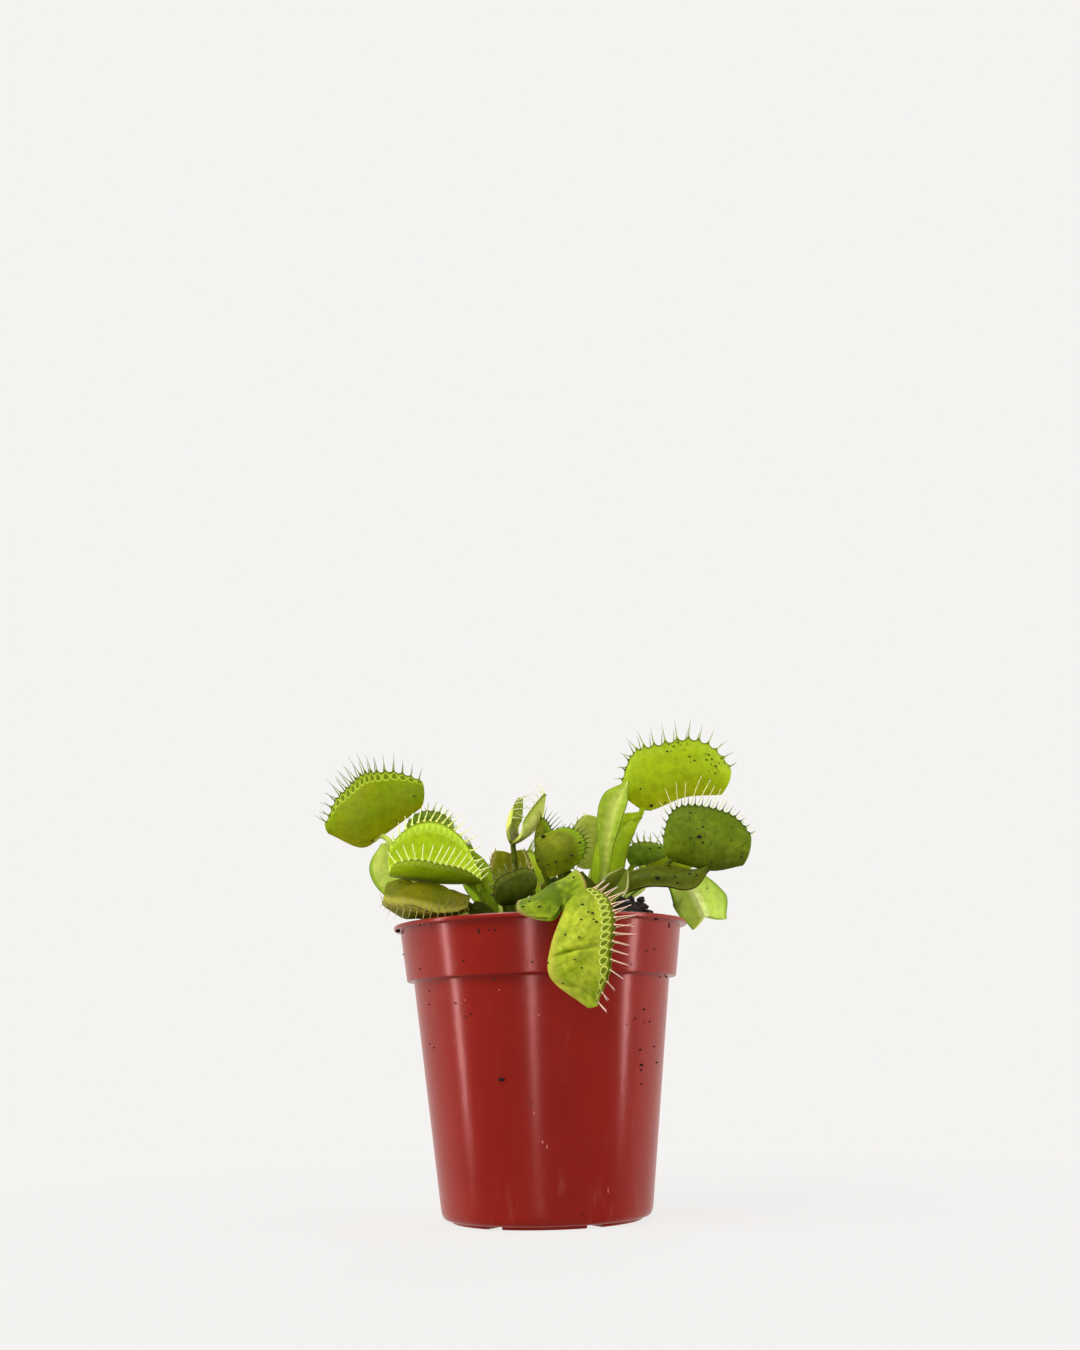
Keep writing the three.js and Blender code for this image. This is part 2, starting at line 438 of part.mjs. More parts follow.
// ---------- pot ----------
function pot() {
  const lipLow = POT_HEIGHT - LIP_THICK;
  const outline = [
    [0, 0], [FOOT_RADIUS - 0.4, 0], [FOOT_RADIUS, 0.4], [FOOT_RADIUS + 0.1, FOOT_DEPTH],
    [BODY_LOW_RADIUS - 2.2, FOOT_DEPTH + 0.05], [BODY_LOW_RADIUS - 0.7, FOOT_DEPTH + 1.0],
    [BODY_LOW_RADIUS, CORNER], [BODY_TOP_RADIUS, COLLAR_LOW - 0.05], [COLLAR_LOW_RADIUS - 0.3, COLLAR_LOW],
    [COLLAR_LOW_RADIUS, COLLAR_LOW + 0.35], [COLLAR_TOP_RADIUS, lipLow], [LIP_RADIUS - 0.3, lipLow + 0.05],
    [LIP_RADIUS, lipLow + 0.45], [LIP_RADIUS - 0.1, POT_HEIGHT - 0.3], [LIP_RADIUS - 0.5, POT_HEIGHT],
    [COLLAR_TOP_RADIUS - WALL + 0.4, POT_HEIGHT], [COLLAR_TOP_RADIUS - WALL, POT_HEIGHT - 0.4],
    [COLLAR_LOW_RADIUS - WALL + 0.05, COLLAR_LOW + WALL], [BODY_TOP_RADIUS - WALL, COLLAR_LOW - 0.2],
    [BODY_LOW_RADIUS - WALL, CORNER + 1.0], [BODY_LOW_RADIUS - WALL - 2, FLOOR_TOP], [0, FLOOR_TOP],
  ];
  let body = revolve(outline, POT_SIDES);
  const channel = solidOf(new THREE.BoxGeometry(CHANNEL_LENGTH, CHANNEL_WIDTH, FOOT_DEPTH * 2));
  const cutter = channel.add(drill(DRAIN_RADIUS, -FLOOR_TOP, FLOOR_TOP * 2, 16)).translate([DRAIN_AT, 0, 0]);
  for (let k = 0; k < CHANNELS; k += 1) {
    body = body.subtract(cutter.rotate([0, 0, CHANNEL_TURN + k * 360 / CHANNELS]));
  }
  return body;
}

// Uneven top of the peat, kept inside the collar.
function peatHeight(x, y) {
  const lump = (p, q, rise, spread) => rise * Math.exp(-((x - p) ** 2 + (y - q) ** 2) / spread ** 2);
  return PEAT_TOP + 0.5 * Math.sin(x * 0.31 + 1.3) * Math.cos(y * 0.27) + 0.35 * Math.sin(x * 0.71 - y * 0.53)
    + lump(MOUND.x, MOUND.y, MOUND.rise, MOUND.spread) - lump(0, 0, 1, 14);
}

function peat() {
  const shell = new Shell();
  const wall = COLLAR_LOW_RADIUS - WALL - PEAT_CLEAR;
  const profile = [[BODY_LOW_RADIUS - WALL - 2.4, FLOOR_TOP + 0.3], [BODY_LOW_RADIUS - WALL - 0.5, CORNER + 1.4],
    [BODY_TOP_RADIUS - WALL - PEAT_CLEAR - 0.1, COLLAR_LOW - 0.4], [wall + 0.1, COLLAR_LOW + WALL + 0.9]];
  const round = (r, z) => Array.from({ length: PEAT_SIDES }, (_, i) => {
    const w = i / PEAT_SIDES * 2 * Math.PI, x = r * Math.cos(w), y = r * Math.sin(w);
    return new THREE.Vector3(x, y, z ?? peatHeight(x, y));
  });
  const rings = profile.map(([r, z]) => shell.row(round(r, z)));
  for (const r of [wall + 0.8, 34.5, 30.5, 26.5, 22.5, 18, 12, 6]) rings.push(shell.row(round(r)));
  const foot = shell.add(new THREE.Vector3(0, 0, FLOOR_TOP + 0.3));
  const top = shell.add(new THREE.Vector3(0, 0, peatHeight(0, 0)));
  for (let i = 0; i < PEAT_SIDES; i += 1) {
    const j = (i + 1) % PEAT_SIDES;
    shell.tri(foot, rings[0][j], rings[0][i]);
    for (let k = 0; k < rings.length - 1; k += 1) {
      shell.quad(rings[k][i], rings[k][j], rings[k + 1][j], rings[k + 1][i]);
    }
    shell.tri(rings.at(-1)[i], rings.at(-1)[j], top);
  }
  let body = shell.solid();
  for (const [x, y] of Object.values(CROWNS)) {
    const hole = drill(CROWN_RADIUS + REST_GAP * 1.2, CROWN_FOOT - REST_GAP, CROWN_FOOT + HOLE_CUT, 28);
    body = body.subtract(hole.translate([x, y, 0]));
  }
  return body;
}

// ---------- scene graph ----------
function asMesh(name, body, colour, roughness) {
  const m = body.getMesh();
  const geometry = new THREE.BufferGeometry();
  const n = m.numProp;
  const pos = new Float32Array(m.numVert * 3);
  for (let i = 0; i < m.numVert; i += 1) {
    for (let c = 0; c < 3; c += 1) pos[i * 3 + c] = m.vertProperties[i * n + c];
  }
  geometry.setAttribute("position", new THREE.BufferAttribute(pos, 3));
  geometry.setIndex(new THREE.BufferAttribute(new Uint32Array(m.triVerts), 1));
  const flat = geometry.toNonIndexed();
  flat.computeVertexNormals();
  const mesh = new THREE.Mesh(flat, new THREE.MeshStandardMaterial({ color: colour, roughness }));
  mesh.name = name;
  return mesh;
}

const group = new THREE.Group();
group.name = "potted_venus_flytrap";
group.add(asMesh("pot", pot(), "#8a2420", 0.22));
group.add(asMesh("peat", peat(), "#241a14", 0.95));
group.add(asMesh("crown_left", crown(...CROWNS.left), "#b9bd84", 0.6));
group.add(asMesh("crown_right", crown(...CROWNS.right), "#b9bd84", 0.6));
for (const [name, spec] of Object.entries(LEAVES)) {
  group.add(asMesh(name, leaf(spec), "#7d9a1c", 0.5));
}
export default group;
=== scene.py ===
"""Looks of a potted Venus flytrap: a glossy red pot, peat, two rhizomes and their toothed snap traps."""

import math
import random

import bmesh
import bpy
from mathutils import Matrix, Vector, noise
from mathutils.bvhtree import BVHTree


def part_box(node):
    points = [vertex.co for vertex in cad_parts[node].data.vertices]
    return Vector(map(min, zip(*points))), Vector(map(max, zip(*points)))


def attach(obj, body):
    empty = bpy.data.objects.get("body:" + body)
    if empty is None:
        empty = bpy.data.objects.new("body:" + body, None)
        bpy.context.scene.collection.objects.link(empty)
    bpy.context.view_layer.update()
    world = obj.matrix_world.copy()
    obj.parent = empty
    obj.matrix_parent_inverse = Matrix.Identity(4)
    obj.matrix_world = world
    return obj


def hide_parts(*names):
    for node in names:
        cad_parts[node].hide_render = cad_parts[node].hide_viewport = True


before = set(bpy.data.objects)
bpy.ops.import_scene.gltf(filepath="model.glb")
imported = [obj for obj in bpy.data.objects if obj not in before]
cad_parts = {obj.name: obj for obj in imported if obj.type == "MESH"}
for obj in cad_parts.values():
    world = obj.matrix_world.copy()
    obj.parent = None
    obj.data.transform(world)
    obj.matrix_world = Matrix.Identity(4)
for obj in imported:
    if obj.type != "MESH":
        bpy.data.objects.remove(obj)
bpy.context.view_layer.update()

MM = 0.001                       # shapes are drawn in millimetres and scaled to metres when finished
SEED = 11                        # of the random draws

# ---------- view ----------
FRAME_W, FRAME_H = 1080, 1350    # pixels
FOCAL_PX = 1518
PRINCIPAL = (540.9, 946.9)       # pixel that the camera points at
CAMERA_BACK = 0.441              # metres from the pot's axis
CAMERA_UP = 0.04775
PITCH, ROLL = 4.0, 1.41          # degrees

# ---------- pot and peat, in millimetres ----------
_, pot_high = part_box("pot")
POT_HEIGHT = pot_high.z / MM
LIP_RADIUS = pot_high.x / MM
LIP_THICK = 1.3
COLLAR_TOP_RADIUS = LIP_RADIUS - 1.85
COLLAR_LOW_RADIUS = LIP_RADIUS - 3.55
COLLAR_LOW = POT_HEIGHT - 16.1
BODY_TOP_RADIUS = LIP_RADIUS - 5.5
BODY_LOW_RADIUS = LIP_RADIUS - 12.25
CORNER = 3.0                     # rounding between the wall and the bottom
FOOT_RADIUS = 27.5
FOOT_DEPTH = 1.0
WALL = 1.2
FLOOR_TOP = 2.8
CHANNELS, CHANNEL_TURN = 6, -62  # drain channels in the foot, and the angle of the first one
CHANNEL_LENGTH, CHANNEL_WIDTH = 22.0, 5.0
DRAIN_RADIUS, DRAIN_AT = 2.2, 22.5            # of the holes, and how far they are from the axis
PEAT_TOP = POT_HEIGHT - 5.1
PEAT_WALL = COLLAR_LOW_RADIUS - WALL - 0.4    # radius of the peat's top
PEAT_GAP, PEAT_LIFT = 0.5, 0.3   # how far the peat stays off the pot's wall and floor
MOUND = dict(x=24.5, y=-24, rise=8.9, spread=6.5)            # heap of peat at the front right
CROWNS = {"crown_left": (-10, 1), "crown_right": (13, 1)}    # x and y of the rhizomes
CROWN_RADIUS, CROWN_FOOT, CROWN_SHOULDER, CROWN_TOP = 7.2, 72.0, 79.5, 85.3
POT_STEPS, PEAT_STEPS, PEAT_RINGS, CROWN_STEPS = 192, 160, 56, 72    # facets round the axis and across
LOOSE_CRUMBS, MOUND_CRUMBS, FIBRES = 420, 90, 70             # how many

# ---------- leaves, in millimetres ----------
LOBE_THICK, LOBE_THIN = 0.9, 0.45
BLADE_THICK, BLADE_THIN = 1.5, 0.6
STALK_RADIUS = 0.85
BRISTLE_RADIUS = 0.30
LOBE_ACROSS, LOBE_PER_TOOTH = 28, 6           # faces of a lobe's grid
BLADE_ACROSS, BLADE_ALONG = 18, 44
RIB_ROUND = 0.05                 # rounding of the midrib, as a share of the lobe's height
RIM_BAND = 0.84                  # where the scalloped rim band of a lobe starts
RIM_FLARE = 0.02                 # how far the rim band turns out
END_ROUND = 0.14                 # share of a lobe's length over which its ends are rounded
END_DROP, END_BOW = 0.16, 0.07   # how much lower the ends are, and how far they bow along the midrib
WING_BOW, WING_ROUND = 0.07, 0.04             # bow of a blade's wings, and rounding of its midrib
WING_END = 0.8                   # where a blade starts to narrow towards its end
LEAVE_AT, JOINT_AT = 0.86, 0.06  # usual places where a stalk leaves the blade and meets the midrib


# ---------- curves ----------
def curve(points):
    """Smooth line through points, read at t from 0 to 1."""
    spots = [Vector(p) for p in points]

    def at(t):
        x = min(max(t, 0.0), 1.0) * (len(spots) - 1)
        i = min(int(x), len(spots) - 2)
        f = x - i
        b, c = spots[i], spots[i + 1]
        a = spots[i - 1] if i > 0 else 2 * b - c
        d = spots[i + 2] if i + 2 < len(spots) else 2 * c - b
        g0, g1, g2 = (math.sqrt((q - p).length) for p, q in ((a, b), (b, c), (c, d)))
        m1 = ((b - a) / g0 - (c - a) / (g0 + g1) + (c - b) / g1) * g1
        m2 = ((c - b) / g1 - (d - b) / (g1 + g2) + (d - c) / g2) * g1
        return b + m1 * f + (3 * (c - b) - 2 * m1 - m2) * f ** 2 + (2 * (b - c) + m1 + m2) * f ** 3

    return at


def heading(line, t, step=0.002):
    """Direction of a line at t."""
    return (line(min(t + step, 1)) - line(max(t - step, 0))).normalized()


def reading(values, t):
    """Value read from evenly spaced entries, eased between them."""
    x = min(max(t, 0.0), 1.0) * (len(values) - 1)
    i = min(int(x), len(values) - 2)
    a, b, c, d = (values[min(max(k, 0), len(values) - 1)] for k in (i - 1, i, i + 1, i + 2))
    f = x - i
    return ((2 * f ** 3 - 3 * f ** 2 + 1) * b + (f ** 3 - 2 * f ** 2 + f) * (c - a) / 2
            + (3 * f ** 2 - 2 * f ** 3) * c + (f ** 3 - f ** 2) * (d - b) / 2)


def square_to(vector, direction):
    """The part of a vector that is square to a direction, at length 1."""
    return (vector - direction * vector.dot(direction)).normalized()


# ---------- mesh making ----------
def mesh_of(name, bm):
    """New mesh from a bmesh, which is freed."""
    mesh = bpy.data.meshes.new(name)
    bm.to_mesh(mesh)
    bm.free()
    return mesh


def placed(name, data):
    """New object in the scene."""
    body = bpy.data.objects.new(name, data)
    bpy.context.scene.collection.objects.link(body)
    return body


def pattern_of(bm):
    """UV map that the patterns on leaves follow."""
    return bm.loops.layers.uv.get("pattern") or bm.loops.layers.uv.new("pattern")


def sheet(across, along, place, mark, outside):
    """Grid bent into a surface. place(u, s) is the point u across, -1 to 1, and s along, 0 to 1.

    mark(u, s) is its place in the pattern, and outside the direction that its right half faces.
    """
    bm = bmesh.new()
    pattern = pattern_of(bm)
    thickness = bm.verts.layers.deform.verify()
    grid = bmesh.ops.create_grid(bm, x_segments=across, y_segments=along, size=1)["verts"]
    spots = {v: (v.co.x, (v.co.y + 1) / 2) for v in grid}
    facing = min(bm.faces, key=lambda f: math.dist(f.calc_center_median().xy, (0.5, 0)))
    for v, spot in spots.items():
        v.co = place(*spot)
        v[thickness][0] = 1 - abs(spot[0]) ** 1.5
    for face in bm.faces:
        for loop in face.loops:
            loop[pattern].uv = mark(*spots[loop.vert])
    facing.normal_update()
    if facing.normal.dot(outside) < 0:
        bmesh.ops.reverse_faces(bm, faces=bm.faces)
    return bm


def settled(bm, modifiers=(), groups=()):
    """Mesh of a bmesh after modifiers, given as (kind, settings) pairs."""
    mesh = mesh_of("part", bm)
    holder = placed("part", mesh)
    for group in groups:
        holder.vertex_groups.new(name=group)
    for kind, settings in modifiers:
        modifier = holder.modifiers.new(kind, kind)
        for key, value in settings.items():
            setattr(modifier, key, value)
    depsgraph = bpy.context.evaluated_depsgraph_get()
    result = bpy.data.meshes.new_from_object(holder.evaluated_get(depsgraph))
    bpy.data.objects.remove(holder)
    bpy.data.meshes.remove(mesh)
    return result


def thickened(bm, thick, thin):
    """Closed body from a sheet, thick at its middle line and thin at its edges."""
    return settled(bm, [("SOLIDIFY", dict(thickness=thick, offset=-1, vertex_group="thickness",
                                          thickness_vertex_group=thin / thick))], ["thickness"])


def spike(bm, path, radius, sides, rings, tile=0.5, rise=(1.0, 2.0)):
    """Round body along path(t), of half thickness radius(t), from its root at t = 0 to its tip at t = 1.

    tile and rise are its place in the pattern, across and from root to tip.
    """
    pattern = pattern_of(bm)
    verts_before, faces_before = len(bm.verts), len(bm.faces)
    made = bmesh.ops.create_cone(bm, cap_ends=True, segments=sides, radius1=1, radius2=1, depth=1)["verts"]
    edges = dict.fromkeys(e for v in made for e in v.link_edges)
    long = [e for e in edges if abs(e.verts[0].co.z - e.verts[1].co.z) > 0.5]
    bmesh.ops.subdivide_edges(bm, edges=long, cuts=rings - 1)
    start = heading(path, 0)
    reference = square_to(Vector((0.2, 0.1, 1)) if abs(start.z) < 0.8 else Vector((1, 0.2, 0)), start)
    bm.verts.ensure_lookup_table()
    bm.faces.ensure_lookup_table()
    share = {}
    for v in bm.verts[verts_before:]:
        t = min(max(v.co.z + 0.5, 0.0), 1.0)
        share[v] = t
        ahead = heading(path, t)
        a = square_to(reference, ahead)
        v.co = path(t) + (a * v.co.x + ahead.cross(a) * v.co.y) * radius(t)
    for face in bm.faces[faces_before:]:
        for loop in face.loops:
            loop[pattern].uv = (tile, rise[0] + (rise[1] - rise[0]) * share[loop.vert])


def piece(name, parts, materials, node, sharp=50):
    """Finished object, in metres, from (material slot, mesh) pairs, in place of a CAD node or beside it."""
    bm = bmesh.new()
    pattern_of(bm)
    for slot, mesh in parts:
        mesh.polygons.foreach_set("material_index", [slot] * len(mesh.polygons))
        bm.from_mesh(mesh)
        bpy.data.meshes.remove(mesh)
    weights = bm.verts.layers.deform.active
    if weights:
        bm.verts.layers.deform.remove(weights)
    bmesh.ops.scale(bm, vec=(MM, MM, MM), verts=bm.verts)
    for face in bm.faces:
        face.smooth = True
    mesh = mesh_of(name, bm)
    mesh.set_sharp_from_angle(angle=math.radians(sharp))
    for material in materials:
        mesh.materials.append(material)
    body = placed(name, mesh)
    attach(body, "root")
    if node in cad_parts:
        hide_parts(node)
    return body


# ---------- snap traps ----------
class Trap:
    """Two bowed lobes on one midrib, with a scalloped rim and a row of bristles on each lobe.

    rib is the midrib's path and mouth the way that the trap opens. high lists a lobe's heights along the
    midrib, fan is how it leans along the midrib at its two ends, in degrees, and bulge how far it is bowed,
    as a share of its height. high_b, fan_b and bulge_b are the second lobe's, where it differs. gape is the
    angle between the lobes, wobble their unevenness, which seed picks, and cusp the depth of the rim's
    scallops. Each crease of the near lobe is (place up, place along, slope, half width, depth).

    teeth and tooth are the number and length of the bristles of a row. They lean inwards by lean, in
    degrees, and along the rim by spread, read from its start to its end. curl bends them inwards, and fine
    is their thickness against the usual. sweep leans the near and the far row along the midrib, and far is
    the length of the far row against the near one, once or along the rim.
    """

    def __init__(self, rib, mouth, high, gape, bulge, fan, teeth, tooth, seed, high_b=None, bulge_b=None,
                 fan_b=None, lean=20, sweep=(0, 0), spread=(-0.25, 0.25), wobble=0.03, curl=0.15, far=0.8,
                 fine=1.0, cusp=0.04, creases=()):
        self.line = curve(rib)
        self.ahead = (Vector(rib[-1]) - Vector(rib[0])).normalized()
        self.mouth = square_to(Vector(mouth), self.ahead)
        self.across = self.ahead.cross(self.mouth).normalized()
        self.high = {-1: high, 1: high_b or high}
        self.bulge = {-1: bulge, 1: bulge if bulge_b is None else bulge_b}
        self.fan = {-1: fan, 1: fan_b or fan}
        self.half = math.radians(gape / 2)
        self.teeth, self.tooth, self.lean, self.sweep = teeth, tooth, math.radians(lean), sweep
        self.spread, self.wobble, self.curl, self.seed = spread, wobble, curl, seed
        self.near, self.fine = (-1 if self.across.y > 0 else 1), fine
        self.far = far if hasattr(far, "__len__") else (far, far)
        self.cusp, self.creases = cusp, creases

    def outward(self, side):
        """Direction that a lobe's outside faces."""
        return self.across * side * math.cos(self.half) - self.mouth * math.sin(self.half)

    def place(self, u, s):
        """Point of the lobes, u from rim to rim and s along the midrib."""
        side, v = (1 if u > 0 else -1), abs(u)
        fan = self.fan[side]
        turn = math.radians(fan[0] + (fan[1] - fan[0]) * s)
        height = reading(self.high[side], s)
        end = max(0.0, 1 - min(s, 1 - s) / END_ROUND)
        height *= 1 - END_DROP * end ** 2.4
        rim = max(0.0, (v - RIM_BAND) / (1 - RIM_BAND))
        height *= 1 + self.cusp * (0.5 - abs(math.cos(math.pi * s * self.teeth))) * rim
        lift = (math.hypot(v, RIB_ROUND) - RIB_ROUND) / (math.hypot(1, RIB_ROUND) - RIB_ROUND)
        wide = self.mouth * math.cos(self.half) + self.across * side * math.sin(self.half)
        swell = self.bulge[side] * math.sin(math.pi * v) + RIM_FLARE * rim ** 1.5
        swell += self.wobble * v * noise.noise(Vector((s * 4.2 + side, v * 2.6, self.seed)))
        for up, along, slope, reach, deep in self.creases if side == self.near else ():
            swell -= deep * math.exp(-((s - along - slope * (v - up)) / reach) ** 2) * math.sin(math.pi * v)
        bow = END_BOW * math.sin(math.pi * v) * end ** 2 * (1 if s > 0.5 else -1)
        return (self.line(s) + wide * height * lift * math.cos(turn)
                + self.ahead * height * (v * math.sin(turn) + bow) + self.outward(side) * height * swell)

    def lobes(self):
        """Both lobes, with one tile of the pattern to each tooth."""
        bm = sheet(LOBE_ACROSS, self.teeth * LOBE_PER_TOOTH, self.place,
                   lambda u, s: (s * self.teeth, abs(u)), self.outward(1))
        return thickened(bm, LOBE_THICK, LOBE_THIN)

    def bristles(self, draw, side):
        """Row of bristles on one lobe's rim."""
        def radius(t):
            flare = max(0.0, 1 - t / 0.16) ** 2
            return self.fine * BRISTLE_RADIUS * (0.2 + 0.7 * (1 - t) + 1.1 * flare)

        bm = bmesh.new()
        for k in range(self.teeth):
            s = (k + 0.5) / self.teeth
            rim = self.place(side, s)
            up = (rim - self.place(side * 0.8, s)).normalized()
            along = (self.place(side, s + 0.02) - self.place(side, s - 0.02)).normalized()
            grow = (up * 0.5 + square_to(up, along) + along * reading(self.spread, s)).normalized()
            grow -= self.across * side * math.tan(self.lean)
            grow = (grow + self.ahead * self.sweep[side != self.near]).normalized()
            size = self.tooth * (0.55 + 0.45 * math.sin(math.pi * min(max(s, 0.1), 0.9)))
            size *= draw.uniform(0.86, 1.08) * (1 if side == self.near else reading(self.far, s))
            aside = Vector([draw.uniform(-1, 1) for _ in range(3)]) * 0.08
            inner = -self.outward(side)
            root = rim + inner * LOBE_THIN * 0.5 - up * 0.5
            bend = (inner * self.curl + aside) * size

            def path(t, root=root, grow=grow, size=size, bend=bend):
                return root + grow * size * 1.08 * t + bend * t ** 2

            spike(bm, path, radius, sides=5, rings=6, tile=k + 0.5)
        return settled(bm)


# ---------- leaf stalks ----------
def blade(path, side, wide, seed, wide_b=None, fold=12, heart=0.35, wave=0.25, round_end=0.2, corner=2.3):
    """Flat leaf stalk: two wings folded about a midrib that follows path.

    side is the way to the second wing, and fold the angle that the wings rise by, once or along the path.
    wide lists the half widths along the path, and wide_b the second wing's, where it differs. heart is how
    far the wings' ends reach past the midrib's end, and a low corner makes them square. round_end is how
    much narrower the end gets, and wave the height of the ruffles, which seed picks.
    """
    line = curve(path)
    sides = side if hasattr(side[0], "__len__") else [side, side]
    wings = {-1: wide, 1: wide_b or wide}
    folds = fold if hasattr(fold, "__len__") else [fold, fold]

    def edges(t):
        ahead = heading(line, t)
        aside = square_to(Vector([reading([v[c] for v in sides], t) for c in range(3)]), ahead)
        return ahead, aside, aside.cross(ahead).normalized()

    def place(u, t):
        ahead, aside, up = edges(t)
        half = 1 if u > 0 else -1
        v = abs(u)
        width = reading(wings[half], t) * (1 - round_end * max(0.0, (t - WING_END) / (1 - WING_END)) ** 2)
        ruffle = wave * v ** 3 * noise.noise(Vector((t * 5 + half * 3, seed, 1.3)))
        angle = math.radians(reading(folds, t))
        lift = math.hypot(v, WING_ROUND) * width * math.sin(angle) + WING_BOW * width * math.sin(math.pi * v)
        return (line(t) + aside * half * v * width * math.cos(angle) + up * (lift + ruffle)
                + ahead * heart * width * math.sin(corner * v) * t ** 4)

    bm = sheet(BLADE_ACROSS, BLADE_ALONG, place, lambda u, t: (t * 6, abs(u)), edges(0.5)[2])
    return thickened(bm, BLADE_THICK, BLADE_THIN)


def stalk(stem, snap, joint, bend, leave_at):
    """Round stalk from the blade's path at leave_at, through the points of bend, to the midrib at joint."""
    line, rib = curve(stem["path"]), curve(snap["rib"])
    opening = square_to(Vector(snap["mouth"]), heading(rib, joint))
    way = [line(leave_at), line(min(leave_at + 0.14, 1)), *(Vector(p) for p in bend),
           rib(joint) + opening * 0.55, rib(min(joint + 0.1, 1)) + opening * 0.6]
    bm = bmesh.new()
    spike(bm, curve(way), lambda t: STALK_RADIUS * (1.05 - 0.15 * t), sides=10, rings=18, rise=(0.1, 0.3))
    return settled(bm)


# ---------- material making ----------
def shade(red, green, blue):
    """Screen colour, 0 to 255, as the linear colour that nodes use."""
    return [((c / 255 + 0.055) / 1.055) ** 2.4 if c > 10 else c / 255 / 12.92
            for c in (red, green, blue)] + [1]


def put(tree, kind, inputs=None, **settings):
    """New node. inputs maps its sockets to values or to the sockets that feed them."""
    made = tree.nodes.new(kind)
    for key, value in settings.items():
        setattr(made, key, value)
    for key, value in (inputs or {}).items():
        if isinstance(value, bpy.types.NodeSocket):
            tree.links.new(value, made.inputs[key])
        else:
            made.inputs[key].default_value = value
    return made


def maths(tree, operation, a, b=0.0):
    """Result of an operation on one or two values."""
    return put(tree, "ShaderNodeMath", {0: a, 1: b}, operation=operation).outputs[0]


def times(tree, a, b):
    """Product of two values."""
    return maths(tree, "MULTIPLY", a, b)


def plus(tree, value, other, share):
    """Value with a share of another added."""
    return maths(tree, "ADD", value, times(tree, other, share))


def rest(tree, value):
    """What a value leaves of 1."""
    return maths(tree, "SUBTRACT", 1.0, value)


def rising(tree, value, low, high):
    """Eased step from 0 at low to 1 at high."""
    return put(tree, "ShaderNodeMapRange", {0: value, 1: low, 2: high},
               interpolation_type="SMOOTHSTEP").outputs[0]


def spot_on(tree):
    """Place on the piece, in metres."""
    return put(tree, "ShaderNodeTexCoord").outputs["Object"]


def blend(tree, share, a, b, kind="MIX"):
    """Colour from a to b as share goes from 0 to 1."""
    return put(tree, "ShaderNodeMix", {0: share, 6: a, 7: b}, data_type="RGBA", blend_type=kind,
               clamp_factor=True).outputs[2]


def darkened(tree, share, colour, by):
    """Colour, which is multiplied by the three shares in by as share goes from 0 to 1."""
    return blend(tree, share, colour, blend(tree, 1.0, colour, (*by, 1), "MULTIPLY"))


def grain(tree, where, scale, detail=3.0, rough=0.55, distortion=0.0):
    """Noise from 0 to 1, scale being its spots to each unit of where."""
    return put(tree, "ShaderNodeTexNoise", {"Vector": where, "Scale": scale, "Detail": detail,
                                            "Roughness": rough, "Distortion": distortion}).outputs[0]


def group(name, inputs, outputs):
    """Empty shader node group with its input and output nodes."""
    tree = bpy.data.node_groups.new(name, "ShaderNodeTree")
    for label, kind, value in inputs:
        socket = tree.interface.new_socket(label, in_out="INPUT", socket_type=kind)
        socket.default_value = value
    for label, kind in outputs:
        tree.interface.new_socket(label, in_out="OUTPUT", socket_type=kind)
    return tree, tree.nodes.new("NodeGroupInput"), tree.nodes.new("NodeGroupOutput")


def soil_specks():
    """Group: mask of small grains of soil scattered over a surface."""
    numbers = [("Spacing", 0.004), ("Share", 0.1), ("Size", 0.2)]
    tree, given, out = group("soil specks", [(n, "NodeSocketFloat", v) for n, v in numbers],
                             [("Mask", "NodeSocketFloat")])
    where = spot_on(tree)
    scale = maths(tree, "DIVIDE", 1.0, given.outputs["Spacing"])
    ragged = put(tree, "ShaderNodeTexNoise", {"Vector": where, "Scale": 2600, "Detail": 1})
    nudge = put(tree, "ShaderNodeVectorMath", {0: ragged.outputs[1], 3: 0.0005}, operation="SCALE").outputs[0]
    moved = put(tree, "ShaderNodeVectorMath", {0: where, 1: nudge}, operation="ADD").outputs[0]
    spots = put(tree, "ShaderNodeTexVoronoi", {"Vector": moved, "Scale": scale})
    pick = put(tree, "ShaderNodeSeparateColor", {0: spots.outputs["Color"]})
    chosen = maths(tree, "LESS_THAN", pick.outputs[0], given.outputs["Share"])
    size = times(tree, given.outputs["Size"], maths(tree, "ADD", 0.35, pick.outputs[1]))
    near = rest(tree, maths(tree, "DIVIDE", spots.outputs["Distance"], size))
    tree.links.new(times(tree, rising(tree, near, 0.0, 0.35), chosen), out.inputs["Mask"])
    return tree


